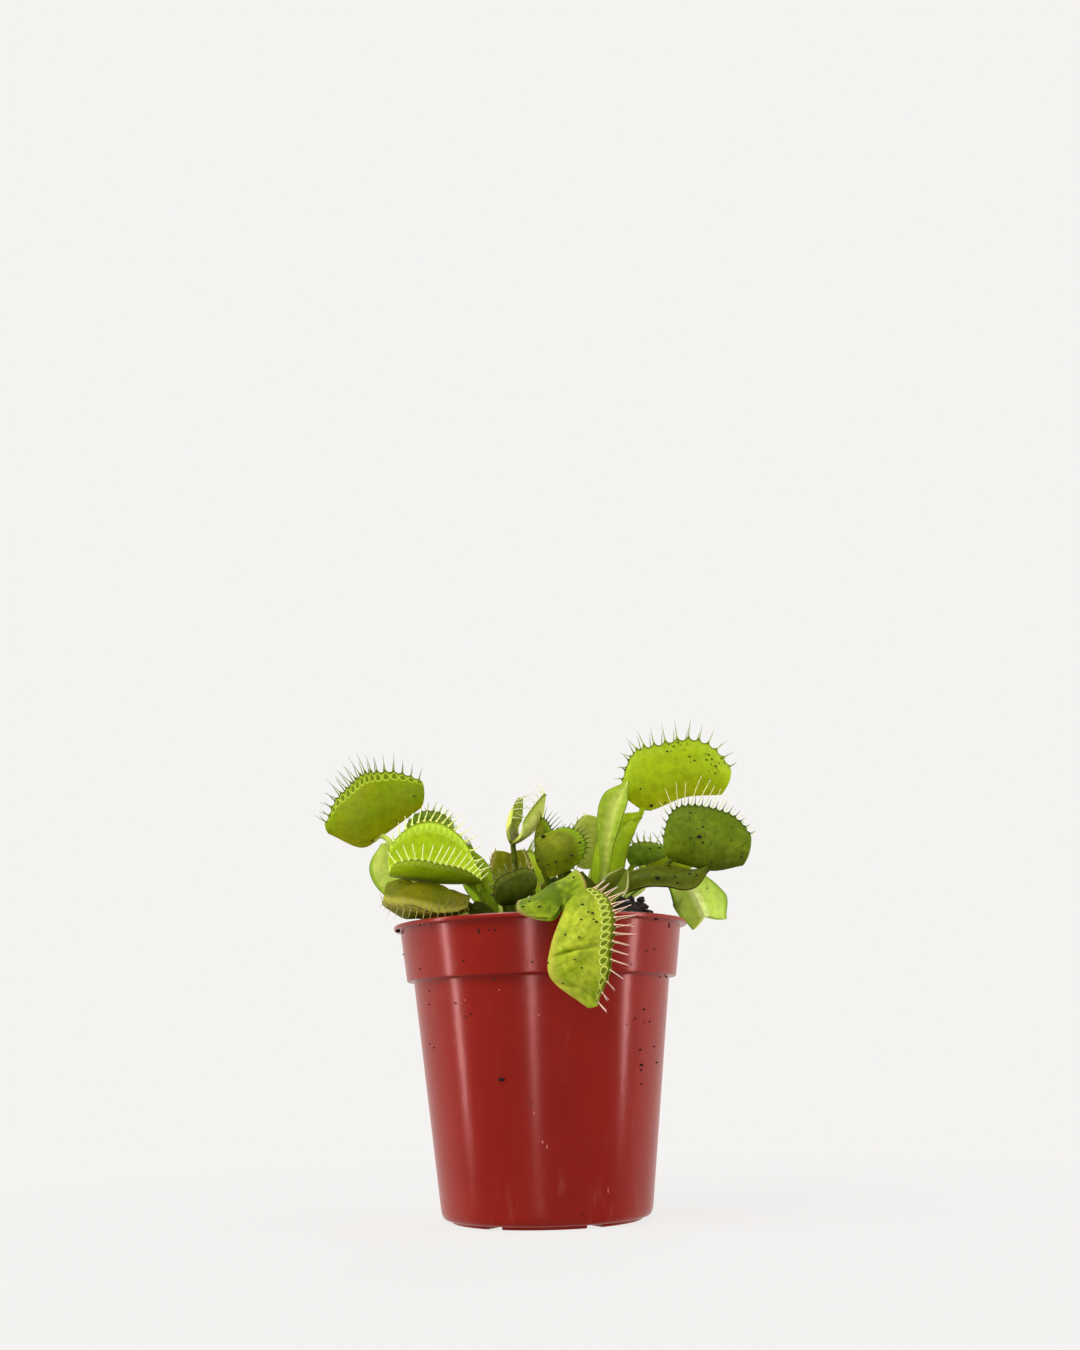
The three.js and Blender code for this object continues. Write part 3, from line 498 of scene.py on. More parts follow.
def leaf_skin(specks):
    """Group: skin of a leaf from its midrib to its rim and on into the bristles."""
    colours = ["Rib", "Body", "Patch", "Rim", "Cell line", "Bristle", "Tip"]
    numbers = [("Cells", 1.0), ("Cell height", 0.085), ("Veins", 0.35), ("Patches", 0.5), ("Specks", 0.04),
               ("Rim start", 0.8), ("Gloss", 0.42), ("Hem", 0.8), ("Rib width", 0.42)]
    tree, given, out = group(
        "leaf skin", [(c, "NodeSocketColor", (0.3, 0.4, 0.05, 1)) for c in colours]
        + [(n, "NodeSocketFloat", v) for n, v in numbers],
        [("Colour", "NodeSocketColor"), ("Roughness", "NodeSocketFloat"), ("Height", "NodeSocketFloat")])
    value = given.outputs
    where = spot_on(tree)
    pattern = put(tree, "ShaderNodeUVMap", uv_map="pattern").outputs[0]
    across, up = put(tree, "ShaderNodeSeparateXYZ", {0: pattern}).outputs[:2]

    # soft patches and fine mottling
    patchy = rising(tree, grain(tree, where, 130, 3, 0.6), 0.38, 0.66)
    mottled = grain(tree, where, 520, 4, 0.65)
    colour = blend(tree, times(tree, patchy, value["Patches"]), value["Body"], value["Patch"])
    colour = blend(tree, rest(tree, rising(tree, up, 0.02, value["Rib width"])), colour, value["Rib"])

    # veins run from the midrib to the rim
    stretched = put(tree, "ShaderNodeCombineXYZ", {0: times(tree, across, 2.6), 1: times(tree, up, 1.1)})
    vein = rising(tree, grain(tree, stretched.outputs[0], 1.0, distortion=0.35), 0.36, 0.64)
    lighter = blend(tree, 0.35, colour, value["Cell line"])
    colour = blend(tree, times(tree, vein, value["Veins"]), colour, lighter)
    dull = times(tree, rising(tree, mottled, 0.60, 0.36), 0.38)
    colour = darkened(tree, dull, colour, (0.45, 0.45, 0.35))

    # rim band with one pale ring at the foot of each bristle
    rim = rising(tree, up, value["Rim start"], maths(tree, "ADD", value["Rim start"], 0.12))
    colour = blend(tree, rim, colour, value["Rim"])
    aside = maths(tree, "SUBTRACT", maths(tree, "FRACT", across), 0.5)
    above = maths(tree, "DIVIDE", maths(tree, "SUBTRACT", up, 0.905), value["Cell height"])
    wide = maths(tree, "POWER", times(tree, aside, 2.25), 2.0)
    far = maths(tree, "SQRT", maths(tree, "ADD", wide, maths(tree, "POWER", above, 2.0)))
    off_ring = maths(tree, "ABSOLUTE", maths(tree, "SUBTRACT", far, 0.9))
    ring = rest(tree, maths(tree, "DIVIDE", off_ring, 0.2))
    ring = times(tree, rising(tree, ring, 0.0, 0.9), value["Cells"])
    inside = rest(tree, rising(tree, far, 0.45, 0.9))
    inside = times(tree, times(tree, inside, value["Cells"]), 0.85)
    colour = darkened(tree, inside, colour, (0.3, 0.36, 0.2))
    colour = blend(tree, times(tree, ring, 0.85), colour, value["Cell line"])
    hem = times(tree, rising(tree, up, 0.945, 0.99), value["Hem"])
    colour = darkened(tree, hem, colour, (0.28, 0.26, 0.1))

    # bristles pale towards the tip
    on_bristle = rising(tree, up, 1.0, 1.08)
    bristle = blend(tree, rising(tree, up, 1.1, 1.95), value["Bristle"], value["Tip"])
    colour = blend(tree, on_bristle, colour, bristle)

    # a few grains of soil, and none on the bristles
    soil = put(tree, "ShaderNodeGroup", {"Spacing": 0.0016, "Share": value["Specks"], "Size": 0.2},
               node_tree=specks)
    soiled = times(tree, soil.outputs["Mask"], rest(tree, on_bristle))
    colour = blend(tree, soiled, colour, shade(38, 28, 20))

    rough = plus(tree, value["Gloss"], mottled, 0.22)
    height = times(tree, vein, times(tree, value["Veins"], 0.7))
    height = plus(tree, height, ring, 0.8)
    height = plus(tree, height, mottled, 0.45)
    height = plus(tree, height, soiled, 0.8)
    for label, socket in (("Colour", colour), ("Roughness", rough), ("Height", height)):
        tree.links.new(socket, out.inputs[label])
    return tree


def finish_of(material, colour, rough, height=None, bump=0.0002, strength=0.8, **shader):
    """The material with its colour, roughness and height joined to its shader, each a socket or a value.

    shader holds the shader's other values, where an underscore stands for a space.
    """
    tree = material.node_tree
    body = tree.nodes["Principled BSDF"]
    for key, value in shader.items():
        body.inputs[key.replace("_", " ")].default_value = value
    for key, value in (("Base Color", colour), ("Roughness", rough)):
        if isinstance(value, bpy.types.NodeSocket):
            tree.links.new(value, body.inputs[key])
        else:
            body.inputs[key].default_value = value
    if height is not None:
        bumped = put(tree, "ShaderNodeBump", {"Strength": strength, "Distance": bump, "Height": height})
        tree.links.new(bumped.outputs[0], body.inputs["Normal"])
    return material


def blank(name):
    """New material with a Principled shader, and its node tree."""
    material = bpy.data.materials.new(name)
    material.use_nodes = True
    return material, material.node_tree


def leaf_finish(name, palette, numbers):
    """Skin of one kind of leaf from its colours and numbers. An underscore in a key stands for a space."""
    material, tree = blank(name)
    values = {key: shade(*colour) for key, colour in palette.items()} | numbers
    skin = put(tree, "ShaderNodeGroup", {key.replace("_", " "): value for key, value in values.items()},
               node_tree=SKIN).outputs
    return finish_of(material, skin["Colour"], skin["Roughness"], skin["Height"], 0.00016, 0.7,
                     Subsurface_Weight=0.15, Subsurface_Radius=(0.6, 1.0, 0.05), Subsurface_Scale=0.0012,
                     Specular_IOR_Level=0.09)


def pot_finish():
    """Glossy red plastic with a soft orange-peel surface, dust, and grains of soil."""
    material, tree = blank("glossy red plastic")
    where = spot_on(tree)
    height_on_pot = put(tree, "ShaderNodeSeparateXYZ", {0: where}).outputs[2]
    soft = grain(tree, where, 45, 3)
    colour = blend(tree, soft, POT_RED, POT_RED_DEEP)
    dusty = put(tree, "ShaderNodeMapping", {0: where, 3: (220, 220, 46)})
    streaks = rising(tree, grain(tree, dusty.outputs[0], 1.0, 4, 0.65), 0.56, 0.86)
    low = rest(tree, rising(tree, height_on_pot, 0.004, 0.035))
    film = times(tree, streaks, plus(tree, 0.10, low, 0.05))
    colour = blend(tree, film, colour, shade(168, 118, 100))
    soil = put(tree, "ShaderNodeGroup", {"Spacing": 0.0042, "Share": 0.035, "Size": 0.10},
               node_tree=SPECKS).outputs["Mask"]
    colour = blend(tree, soil, colour, shade(40, 24, 18))
    fine = grain(tree, where, 1500, 2)
    rough = plus(tree, 0.2, film, 0.9)
    rough = plus(tree, rough, soil, 0.5)
    peel = plus(tree, grain(tree, where, 260, 2), fine, 0.05)
    peel = plus(tree, peel, soil, 2.5)
    return finish_of(material, colour, rough, peel, 0.00006, 0.5, Specular_IOR_Level=0.55,
                     Specular_Tint=(1, 0.5, 0.48, 1))


def peat_finish():
    """Near-black damp peat with brown fibres."""
    material, tree = blank("damp peat")
    where = spot_on(tree)
    coarse, fine = grain(tree, where, 420, 5, 0.7), grain(tree, where, 1700, 4, 0.7)
    colour = blend(tree, rising(tree, coarse, 0.35, 0.72), shade(12, 9, 8), shade(40, 27, 18))
    colour = blend(tree, rising(tree, fine, 0.62, 0.78), colour, shade(96, 66, 40))
    rough = plus(tree, 0.62, coarse, 0.35)
    height = plus(tree, coarse, fine, 0.6)
    return finish_of(material, colour, rough, height, 0.0007, 1.0, Specular_IOR_Level=0.3)


def rhizome_finish():
    """Cream rhizome, green at the top, browned by the peat below."""
    material, tree = blank("cream rhizome")
    where = spot_on(tree)
    height_on_plant = put(tree, "ShaderNodeSeparateXYZ", {0: where}).outputs[2]
    coarse, fine = grain(tree, where, 260, 4, 0.65), grain(tree, where, 1500, 3)
    uneven = plus(tree, height_on_plant, coarse, 0.004)
    colour = blend(tree, rising(tree, uneven, 0.0795, 0.0865), shade(92, 66, 44), shade(186, 186, 122))
    colour = blend(tree, rising(tree, coarse, 0.5, 0.7), colour, shade(120, 128, 52))
    rough = plus(tree, 0.45, fine, 0.3)
    height = plus(tree, coarse, fine, 0.4)
    return finish_of(material, colour, rough, height, 0.0004, 0.8, Subsurface_Weight=0.15,
                     Subsurface_Radius=(1.0, 0.8, 0.3), Subsurface_Scale=0.001)


def moss_finish():
    """Fresh moss."""
    material, tree = blank("fresh moss")
    mixed = grain(tree, spot_on(tree), 900, 3)
    colour = blend(tree, rising(tree, mixed, 0.3, 0.7), shade(58, 92, 14), shade(146, 176, 40))
    rough = plus(tree, 0.5, mixed, 0.2)
    return finish_of(material, colour, rough, mixed)


def scuff_finish():
    """Pale scuffed plastic."""
    material, tree = blank("pale scuff")
    mixed = grain(tree, spot_on(tree), 900, 2)
    colour = blend(tree, mixed, shade(176, 92, 76), shade(214, 140, 122))
    rough = plus(tree, 0.3, mixed, 0.2)
    return finish_of(material, colour, rough)


def fibre_finish():
    """Brown plant fibre."""
    material, tree = blank("brown fibre")
    mixed = grain(tree, spot_on(tree), 800, 3)
    colour = blend(tree, mixed, shade(74, 46, 26), shade(168, 128, 84))
    rough = plus(tree, 0.6, mixed, 0.25)
    return finish_of(material, colour, rough, mixed)


POT_RED, POT_RED_DEEP = shade(127, 27, 17), shade(109, 18, 12)
SPECKS = soil_specks()
SKIN = leaf_skin(SPECKS)


# Leaves by crown, in millimetres: the skins, the stem that blade() makes and the snap that Trap makes.
# joint, bend and leave_at are for the stalk between the two.
LEAVES = {
    # ----- left crown -----
    "leaf_tall_left": dict(
        skin="olive", stem_skin="pale_stalk",
        stem=dict(
            path=[[-15.2, 3, 82.6], [-23.2, 4.8, 89.6], [-33.4, 5.2, 95.6], [-41.6, 4.6, 102.8],
                  [-43.4, 3.8, 110.6]], side=[[0.58, 0.2, 0.78], [0.75, 0.1, 0.6], [1, 0, 0]],
            wide=[1.4, 2.6, 4.6, 7.4, 8, 4], wide_b=[1.4, 2.4, 4, 5.4, 5, 2], fold=4, heart=0.2),
        snap=dict(
            rib=[[-34.5, 7, 121.5], [-46, 5, 113], [-51.8, 4, 109.5], [-61.5, 2, 113.5]], mouth=[0, 0, 1],
            high=[9.4, 17.4, 20.5, 16, 4], gape=17, bulge=0.16, fan=[-18, 6], teeth=17, tooth=7.0, fine=0.8,
            far=0.65, spread=(-0.1, 0.3)),
        joint=0.36),
    "leaf_bright_left": dict(
        skin="fresh", stem_skin="green_stalk",
        stem=dict(
            path=[[-13.2, -2.9, 82.6], [-15.4, -3.4, 91], [-18.6, -3.6, 99], [-22.6, -3, 107.5]],
            side=[0.8, -0.1, 0.5], wide=[1.2, 1.3, 1.8, 4.4, 2.6], wide_b=[1.4, 3, 4.6, 5, 2.6], fold=6,
            heart=0),
        snap=dict(
            rib=[[-17, -8.5, 96.5], [-30, -10, 96.8], [-42, -13, 98.6]], mouth=[0, -0.53, 0.85],
            high=[3.5, 12, 16, 17.5, 13], high_b=[4, 14.5, 19, 17.6, 12], gape=90, bulge=0.1, fan=[-6, 2],
            teeth=16, tooth=5.2, lean=14, sweep=(0, -0.45), far=0.95, cusp=0.02),
        leave_at=0.5, bend=[[-18, -6.4, 98]]),
    "leaf_low_left": dict(
        skin="aged", stem_skin="dark_stalk",
        stem=dict(
            path=[[-11, -4.8, 81.8], [-15.2, -9.4, 86.6], [-19, -10.6, 89.5]], side=[0.6, 0.2, 0.75],
            wide=[1.4, 2.4, 3, 2.6], fold=10),
        snap=dict(
            rib=[[-20.5, -11.5, 91.3], [-31, -10.8, 93.1], [-41.4, -10.4, 95]], mouth=[0, -0.94, -0.34],
            high=[8, 14, 17, 17.4, 14], high_b=[9, 15, 16.8, 17, 12.6], gape=-2, bulge=0.3, bulge_b=0.34,
            fan=[-8, 6], teeth=14, tooth=3.6, lean=14, curl=0.3, fine=0.6, far=0.9, wobble=0.1,
            spread=(0, 0, 0.1, 0.3, 1.5), cusp=0.02,
            creases=[(0.3, 0.3, -0.5, 0.06, 0.05), (0.6, 0.75, 0.3, 0.05, 0.05)])),
    "leaf_young_centre": dict(
        skin="young", stem_skin="dark_stalk",
        stem=dict(
            path=[[-8.6, -0.2, 84.4], [-7.2, 0.5, 92], [-6.6, 1.4, 99]], side=[1, 0, 0],
            wide=[1.2, 1.9, 2.2, 1.6], fold=20),
        snap=dict(
            rib=[[-8.1, -1.6, 108.6], [-7.3, 3, 109.2], [-6, 8, 111.4]], mouth=[0.38, -0.05, 0.93],
            high=[8.5, 12.5, 14, 12.5, 7], high_b=[9.5, 14.5, 17.4, 16, 9], gape=24, bulge=0.19,
            fan=[-8, 20], teeth=10, tooth=4.6, fine=0.55, lean=34, cusp=0.01),
        joint=0.3),
    "leaf_olive_behind": dict(
        skin="tan_olive", stem_skin="dark_stalk",
        stem=dict(
            path=[[-8.6, 6.2, 82.8], [-8.4, 7, 90], [-8.2, 6.6, 96.5]], side=[1, 0, 0],
            wide=[1.3, 2.2, 3, 2.6], fold=14),
        snap=dict(
            rib=[[-8.4, 6, 99], [-8.4, 6.6, 103.5], [-8.5, 6, 107]], mouth=[0, -1, 0.1],
            high=[6.5, 8.2, 8, 7, 6], gape=104, bulge=0.12, fan=[-25, 8], teeth=8, tooth=2.5)),
    "leaf_dark_centre": dict(
        skin="dark", stem_skin="dark_stalk",
        stem=dict(
            path=[[-6.8, -3.4, 82.6], [-3.6, -7.5, 87], [-2, -10.5, 90]], side=[0.8, 0.4, 0.3],
            wide=[1.3, 2.2, 2.8, 2.4], fold=14),
        snap=dict(
            rib=[[-1.2, -13, 94], [-5.6, -13.6, 90.2], [-10.6, -14, 89.4]], mouth=[-0.45, 0, 0.9],
            high=[6, 8.6, 9.6, 8.6, 4.5], gape=44, bulge=0.14, fan=[-24, 16], teeth=9, tooth=2.6)),
    "leaf_small_back_left": dict(
        skin="green", stem_skin="green_stalk",
        stem=dict(
            path=[[-13.4, 5.6, 82], [-16.4, 10.5, 94], [-23, 14.5, 106]], side=[0.6, -0.5, 0.4],
            wide=[1.3, 2.4, 3.6, 3.2], fold=14),
        snap=dict(
            rib=[[-28.4, 16, 110.6], [-34, 17.5, 111.4], [-40, 18, 114.6]], mouth=[-0.05, 0, 1],
            high=[7, 10.5, 11.5, 9.5, 5], gape=40, bulge=0.14, fan=[-10, 10], teeth=9, tooth=3)),
    # ----- right crown -----
    "leaf_spotted": dict(
        skin="spotted", stem_skin="dark_stalk",
        stem=dict(
            path=[[7.8, -0.2, 82.8], [4.8, -2, 90], [2.6, -3.8, 96.4]], side=[0.6, 0.7, 0.3],
            wide=[1.4, 5.2, 6.2, 4.4], fold=12),
        snap=dict(
            rib=[[1.6, -4.6, 98.4], [-0.8, -4.2, 103], [-1.2, -3.8, 108.4]], mouth=[1, -0.1, 0.1],
            high=[10, 15.6, 16.6, 12.4, 4.5], high_b=[7, 8.4, 9.4, 10, 9.4], gape=38, bulge=0.16,
            fan=[-6, 24], fan_b=[6, 60], teeth=16, tooth=2.2, fine=0.7, far=2.2)),
    "leaf_pale_behind": dict(
        skin="pale", stem_skin="pale_stalk",
        stem=dict(
            path=[[10.6, 5.8, 82.2], [12.6, 11, 91], [15.2, 13.8, 99.5]], side=[1, -0.1, 0],
            wide=[1.3, 2.6, 3.8, 3.2], fold=14),
        snap=dict(
            rib=[[16.4, 14.6, 103], [18.4, 15.4, 110], [19.6, 15, 117.5]], mouth=[0, -1, 0.05],
            high=[5.5, 8.8, 9.4, 9.2, 6.6], gape=130, bulge=0.08, fan=[-12, 6], teeth=9, tooth=3)),
    "leaf_lens": dict(
        stem_skin="lens_blade",
        stem=dict(
            path=[[13.8, 1.2, 84.2], [18.9, -1, 99], [20.4, -1.6, 110], [22.8, -1.6, 119.5],
                  [26.6, -1.4, 126.6]], side=[0.97, -0.2, -0.15], wide=[1.2, 1.3, 2.2, 4.2, 4.4, 0.5],
            wide_b=[1.2, 1.3, 1.8, 3.2, 3.4, 0.5], fold=20, heart=0, wave=0.1)),
    "leaf_tall_right": dict(
        skin="bright", stem_skin="bright_stalk",
        stem=dict(
            path=[[18.1, 2.7, 82.4], [19.8, 4.4, 96], [22.3, 5.4, 108.6], [26.2, 5.6, 114.5],
                  [30.4, 5.2, 117.6]], side=[[0.8, -0.45, -0.4], [0.8, -0.4, -0.3], [0.6, -0.2, -0.7]],
            wide=[2.4, 4.4, 5.4, 4.8, 3.4, 1.3], fold=10, heart=0),
        snap=dict(
            rib=[[26.4, 4.4, 122], [32.2, 4.6, 118.6], [44, 5.4, 122.4], [54.6, 6.4, 123]],
            mouth=[0.03, 0, 1], high=[6.5, 17.6, 19, 16, 9.6], gape=19, bulge=0.16, fan=[-11, 26], teeth=14,
            tooth=6.8, fine=0.85, far=0.6, spread=(-0.75, -0.3, 0.1, 0.3, 0.6), cusp=0.055),
        joint=0.28),
    "leaf_dark_right": dict(
        # the far bristle row takes the pale fresh skin as painted light, while the near row keeps the dark
        # deep skin
        skin="deep", stem_skin="dark_stalk", lit_far_skin="fresh",
        stem=dict(
            path=[[16.8, -3.2, 82.6], [23.4, -6, 94.6], [30.2, -8.6, 97], [36.6, -10.2, 97.2],
                  [42.8, -11.6, 96.4], [48.2, -12, 98.8]], side=[-0.2, 0.4, 0.9],
            wide=[1.4, 2.8, 3, 3.4, 3.6, 1], wide_b=[1.4, 3, 3.4, 3.6, 3, 1], fold=6, heart=0),
        snap=dict(
            rib=[[37.4, -9.4, 102], [41.8, -10.6, 100.2], [49.5, -11.7, 98.2], [57.8, -12.5, 99.4]],
            mouth=[0, 0, 1], high=[7.5, 15.5, 18.2, 16.6, 10.4], gape=22, bulge=0.17, fan=[-22, 12],
            teeth=18, tooth=3.2, fine=0.75, far=(1.4, 2.7, 2.8, 1.3, 0.9), curl=0.05, spread=(-0.3, 0.4),
            sweep=(0, 0.35)),
        leave_at=0.56, bend=[[36.4, -9.2, 99.8]]),
    "leaf_hanging_right": dict(
        stem_skin="pale_blade",
        stem=dict(
            path=[[18.6, -1.1, 82.4], [28.4, 1.8, 95.4], [36.8, 3.5, 99.2], [43.7, 3.4, 95.9],
                  [46.2, 2.4, 91.4], [48.2, 1.6, 86.2]],
            side=[[0, 1, 0.2], [0.2, 0.6, 0.8], [0.8, 0, 0.56], [0.86, 0, 0.5]],
            wide=[1.4, 2.2, 2.8, 7, 7.6, 5.4], wide_b=[1.4, 2, 2.6, 6, 10, 7.2], fold=[8, 8, 10, 30, 34],
            heart=0.3, round_end=0, corner=1.5)),
    "leaf_front": dict(
        skin="pale_front", stem_skin="front_blade",
        stem=dict(
            path=[[10, -3.2, 82.2], [5.4, -15, 90.6], [3.6, -28, 91.8], [4, -37, 91.6], [4.8, -43.8, 89],
                  [5.9, -47.4, 85.2]], side=[[1, 0, 0.1], [0.85, 0.1, 0.45], [0.82, 0.15, 0.52]],
            wide=[1.4, 3.4, 7, 10, 11.6, 11], wide_b=[1.4, 3.4, 6, 7.6, 8.4, 7.6], fold=[2, 2, -10, -14],
            heart=0.6, round_end=0.45),
        snap=dict(
            rib=[[6.6, -50.4, 85.4], [2.6, -50.8, 75.5], [2, -51, 67.5], [11.6, -51.6, 59]],
            mouth=[1, -0.16, 0.1], high=[10, 17.2, 19.2, 15.4, 3.4], gape=20, bulge=0.16, fan=[-22, -2],
            teeth=16, tooth=6, fine=0.6, spread=(0.3, 0.0, 0.15, 0.8, 1.3), curl=0.0, far=0.95,
            creases=[(0.5, 0.55, 0.14, 0.018, 0.05), (0.45, 0.3, 1.6, 0.03, 0.03),
                     (0.25, 0.8, 0.3, 0.03, 0.1)]),
        bend=[[6.8, -48.9, 87.4]], joint=0.02),
    "leaf_small_right": dict(
        skin="green", stem_skin="green_stalk",
        stem=dict(
            path=[[17, 6.1, 81.8], [21.6, 9, 91.5], [25.8, 9, 99]], side=[0.7, -0.5, 0],
            wide=[1.3, 2.4, 3.4, 3], fold=14),
        snap=dict(
            rib=[[27.8, 8.6, 102.4], [32.4, 8.4, 103], [37.8, 8.2, 105]], mouth=[0, 0, 1],
            high=[5, 7, 7.4, 6, 3.5], gape=44, bulge=0.14, fan=[-10, 10], teeth=8, tooth=3.5)),
    "leaf_folded_old": dict(
        stem_skin="old_blade",
        stem=dict(
            path=[[13.4, -4.2, 82.4], [17.6, -10.2, 88.6], [21.4, -13, 94], [24.6, -14, 99]],
            side=[0.75, -0.2, -0.6], wide=[1.4, 3.4, 4.6, 4.2, 1.6], fold=26, heart=0)),
    # ----- seen from behind -----
    "leaf_back_centre": dict(
        skin="bright", stem_skin="green_stalk",
        stem=dict(
            path=[[8.1, 2.9, 82.2], [3.8, 11.6, 91], [2.4, 22, 97]], side=[1, 0.2, 0],
            wide=[1.3, 3.6, 6.4, 5.6], fold=12, heart=0.2),
        snap=dict(
            rib=[[2.4, 26, 98.6], [0.4, 32, 98], [-1, 40, 100.4]], mouth=[0.1, -0.1, 1],
            high=[7, 12, 13.5, 12, 7], gape=40, bulge=0.15, fan=[-14, 16], teeth=12, tooth=4.5)),
    "leaf_back_right": dict(
        skin="olive", stem_skin="pale_stalk",
        stem=dict(
            path=[[14, 7.4, 81.4], [21, 16.4, 90.5], [31, 22, 97.5]], side=[0.6, -0.7, 0.2],
            wide=[1.3, 3.6, 6, 5.2], fold=12, heart=0.2),
        snap=dict(
            rib=[[34.5, 24.8, 100], [40.5, 27.2, 100.6], [47.5, 29, 104]], mouth=[0, 0.2, 1],
            high=[6, 10.5, 12, 10.5, 6], gape=70, bulge=0.12, fan=[-14, 16], teeth=11, tooth=4)),
    "leaf_back_left": dict(
        skin="bright", stem_skin="pale_stalk",
        stem=dict(
            path=[[-10.5, 7, 81.6], [-14.4, 16, 91], [-20.5, 25.5, 100]], side=[0.85, 0.5, 0],
            wide=[1.3, 2.8, 5, 4.6], fold=12, heart=0.2),
        snap=dict(
            rib=[[-22.6, 28.4, 101.6], [-26.5, 34, 102], [-30.8, 40, 105]], mouth=[-0.1, 0, 1],
            high=[6, 11, 12.5, 11, 6], gape=34, bulge=0.16, fan=[-14, 16], teeth=12, tooth=4.5)),
}

# Colours of the leaves, as seen on screen: from the midrib to the rim, then root and tip of the bristles.
SKINS = {
    "olive": dict(Rib=(138, 138, 0), Body=(122, 134, 0), Patch=(98, 128, 0), Rim=(126, 146, 10),
                  Cell_line=(196, 212, 70), Bristle=(110, 120, 50), Tip=(120, 122, 106)),
    "fresh": dict(Rib=(200, 212, 96), Body=(156, 180, 10), Patch=(134, 168, 4), Rim=(176, 202, 50),
                  Cell_line=(214, 226, 110), Bristle=(216, 224, 120), Tip=(240, 240, 190)),
    "aged": dict(Rib=(140, 136, 54), Body=(112, 108, 8), Patch=(84, 92, 2), Rim=(142, 138, 48),
                 Cell_line=(184, 184, 100), Bristle=(130, 112, 56), Tip=(168, 160, 116)),
    "young": dict(Rib=(104, 96, 14), Body=(190, 198, 88), Patch=(206, 210, 116), Rim=(168, 184, 74),
                  Cell_line=(190, 200, 100), Bristle=(200, 206, 140), Tip=(226, 226, 206)),
    "tan_olive": dict(Rib=(110, 106, 8), Body=(158, 158, 26), Patch=(128, 136, 8), Rim=(196, 184, 96),
                      Cell_line=(206, 200, 120), Bristle=(190, 180, 106), Tip=(206, 198, 140)),
    "dark": dict(Rib=(40, 50, 0), Body=(62, 72, 2), Patch=(80, 92, 6), Rim=(92, 100, 20),
                 Cell_line=(150, 156, 84), Bristle=(70, 78, 26), Tip=(120, 124, 90)),
    "green": dict(Rib=(70, 96, 0), Body=(94, 122, 10), Patch=(116, 142, 26), Rim=(124, 146, 40),
                  Cell_line=(170, 186, 90), Bristle=(140, 156, 70), Tip=(160, 168, 116)),
    "spotted": dict(Rib=(74, 82, 0), Body=(96, 106, 0), Patch=(120, 124, 14), Rim=(112, 138, 10),
                    Cell_line=(150, 172, 60), Bristle=(62, 70, 14), Tip=(110, 114, 80)),
    "pale": dict(Rib=(146, 160, 34), Body=(180, 190, 78), Patch=(156, 172, 44), Rim=(192, 198, 98),
                 Cell_line=(210, 214, 130), Bristle=(196, 200, 110), Tip=(216, 216, 160)),
    "bright": dict(Rib=(172, 178, 2), Body=(150, 168, 4), Patch=(128, 158, 10), Rim=(146, 168, 24),
                   Cell_line=(182, 196, 84), Bristle=(120, 136, 50), Tip=(140, 144, 116)),
    "deep": dict(Rib=(66, 80, 0), Body=(84, 102, 0), Patch=(104, 122, 20), Rim=(84, 104, 8),
                 Cell_line=(130, 146, 50), Bristle=(76, 86, 24), Tip=(96, 100, 60)),
    "pale_front": dict(Rib=(160, 158, 52), Body=(118, 138, 2), Patch=(160, 170, 38), Rim=(144, 160, 28),
                       Cell_line=(212, 216, 118), Bristle=(220, 184, 150), Tip=(240, 212, 200)),
    # blades and stalks, which have no bristles
    "pale_stalk": dict(Rib=(180, 194, 70), Body=(184, 200, 86), Patch=(150, 176, 50), Rim=(140, 168, 44),
                       Cell_line=(208, 216, 140)),
    "green_stalk": dict(Rib=(132, 154, 4), Body=(128, 152, 4), Patch=(100, 128, 2), Rim=(120, 146, 10),
                        Cell_line=(176, 194, 80)),
    "bright_stalk": dict(Rib=(162, 182, 40), Body=(152, 176, 14), Patch=(122, 150, 6), Rim=(140, 164, 22),
                         Cell_line=(186, 204, 90)),
    "dark_stalk": dict(Rib=(76, 86, 4), Body=(66, 76, 2), Patch=(84, 94, 8), Rim=(90, 92, 14),
                       Cell_line=(112, 122, 40)),
    "lens_blade": dict(Rib=(182, 196, 86), Body=(140, 164, 36), Patch=(156, 178, 56), Rim=(132, 156, 24),
                       Cell_line=(190, 206, 100)),
    "pale_blade": dict(Rib=(208, 220, 130), Body=(180, 202, 82), Patch=(164, 190, 62), Rim=(136, 168, 50),
                       Cell_line=(200, 216, 128)),
    # the front blade's dark body and darker midrib are partly its own green and partly painted shade
    "front_blade": dict(Rib=(72, 94, 0), Body=(80, 102, 0), Patch=(130, 148, 26), Rim=(178, 162, 92),
                        Cell_line=(176, 192, 80)),
    "old_blade": dict(Rib=(84, 98, 8), Body=(100, 112, 22), Patch=(78, 92, 8), Rim=(176, 178, 116),
                      Cell_line=(150, 156, 80)),
}

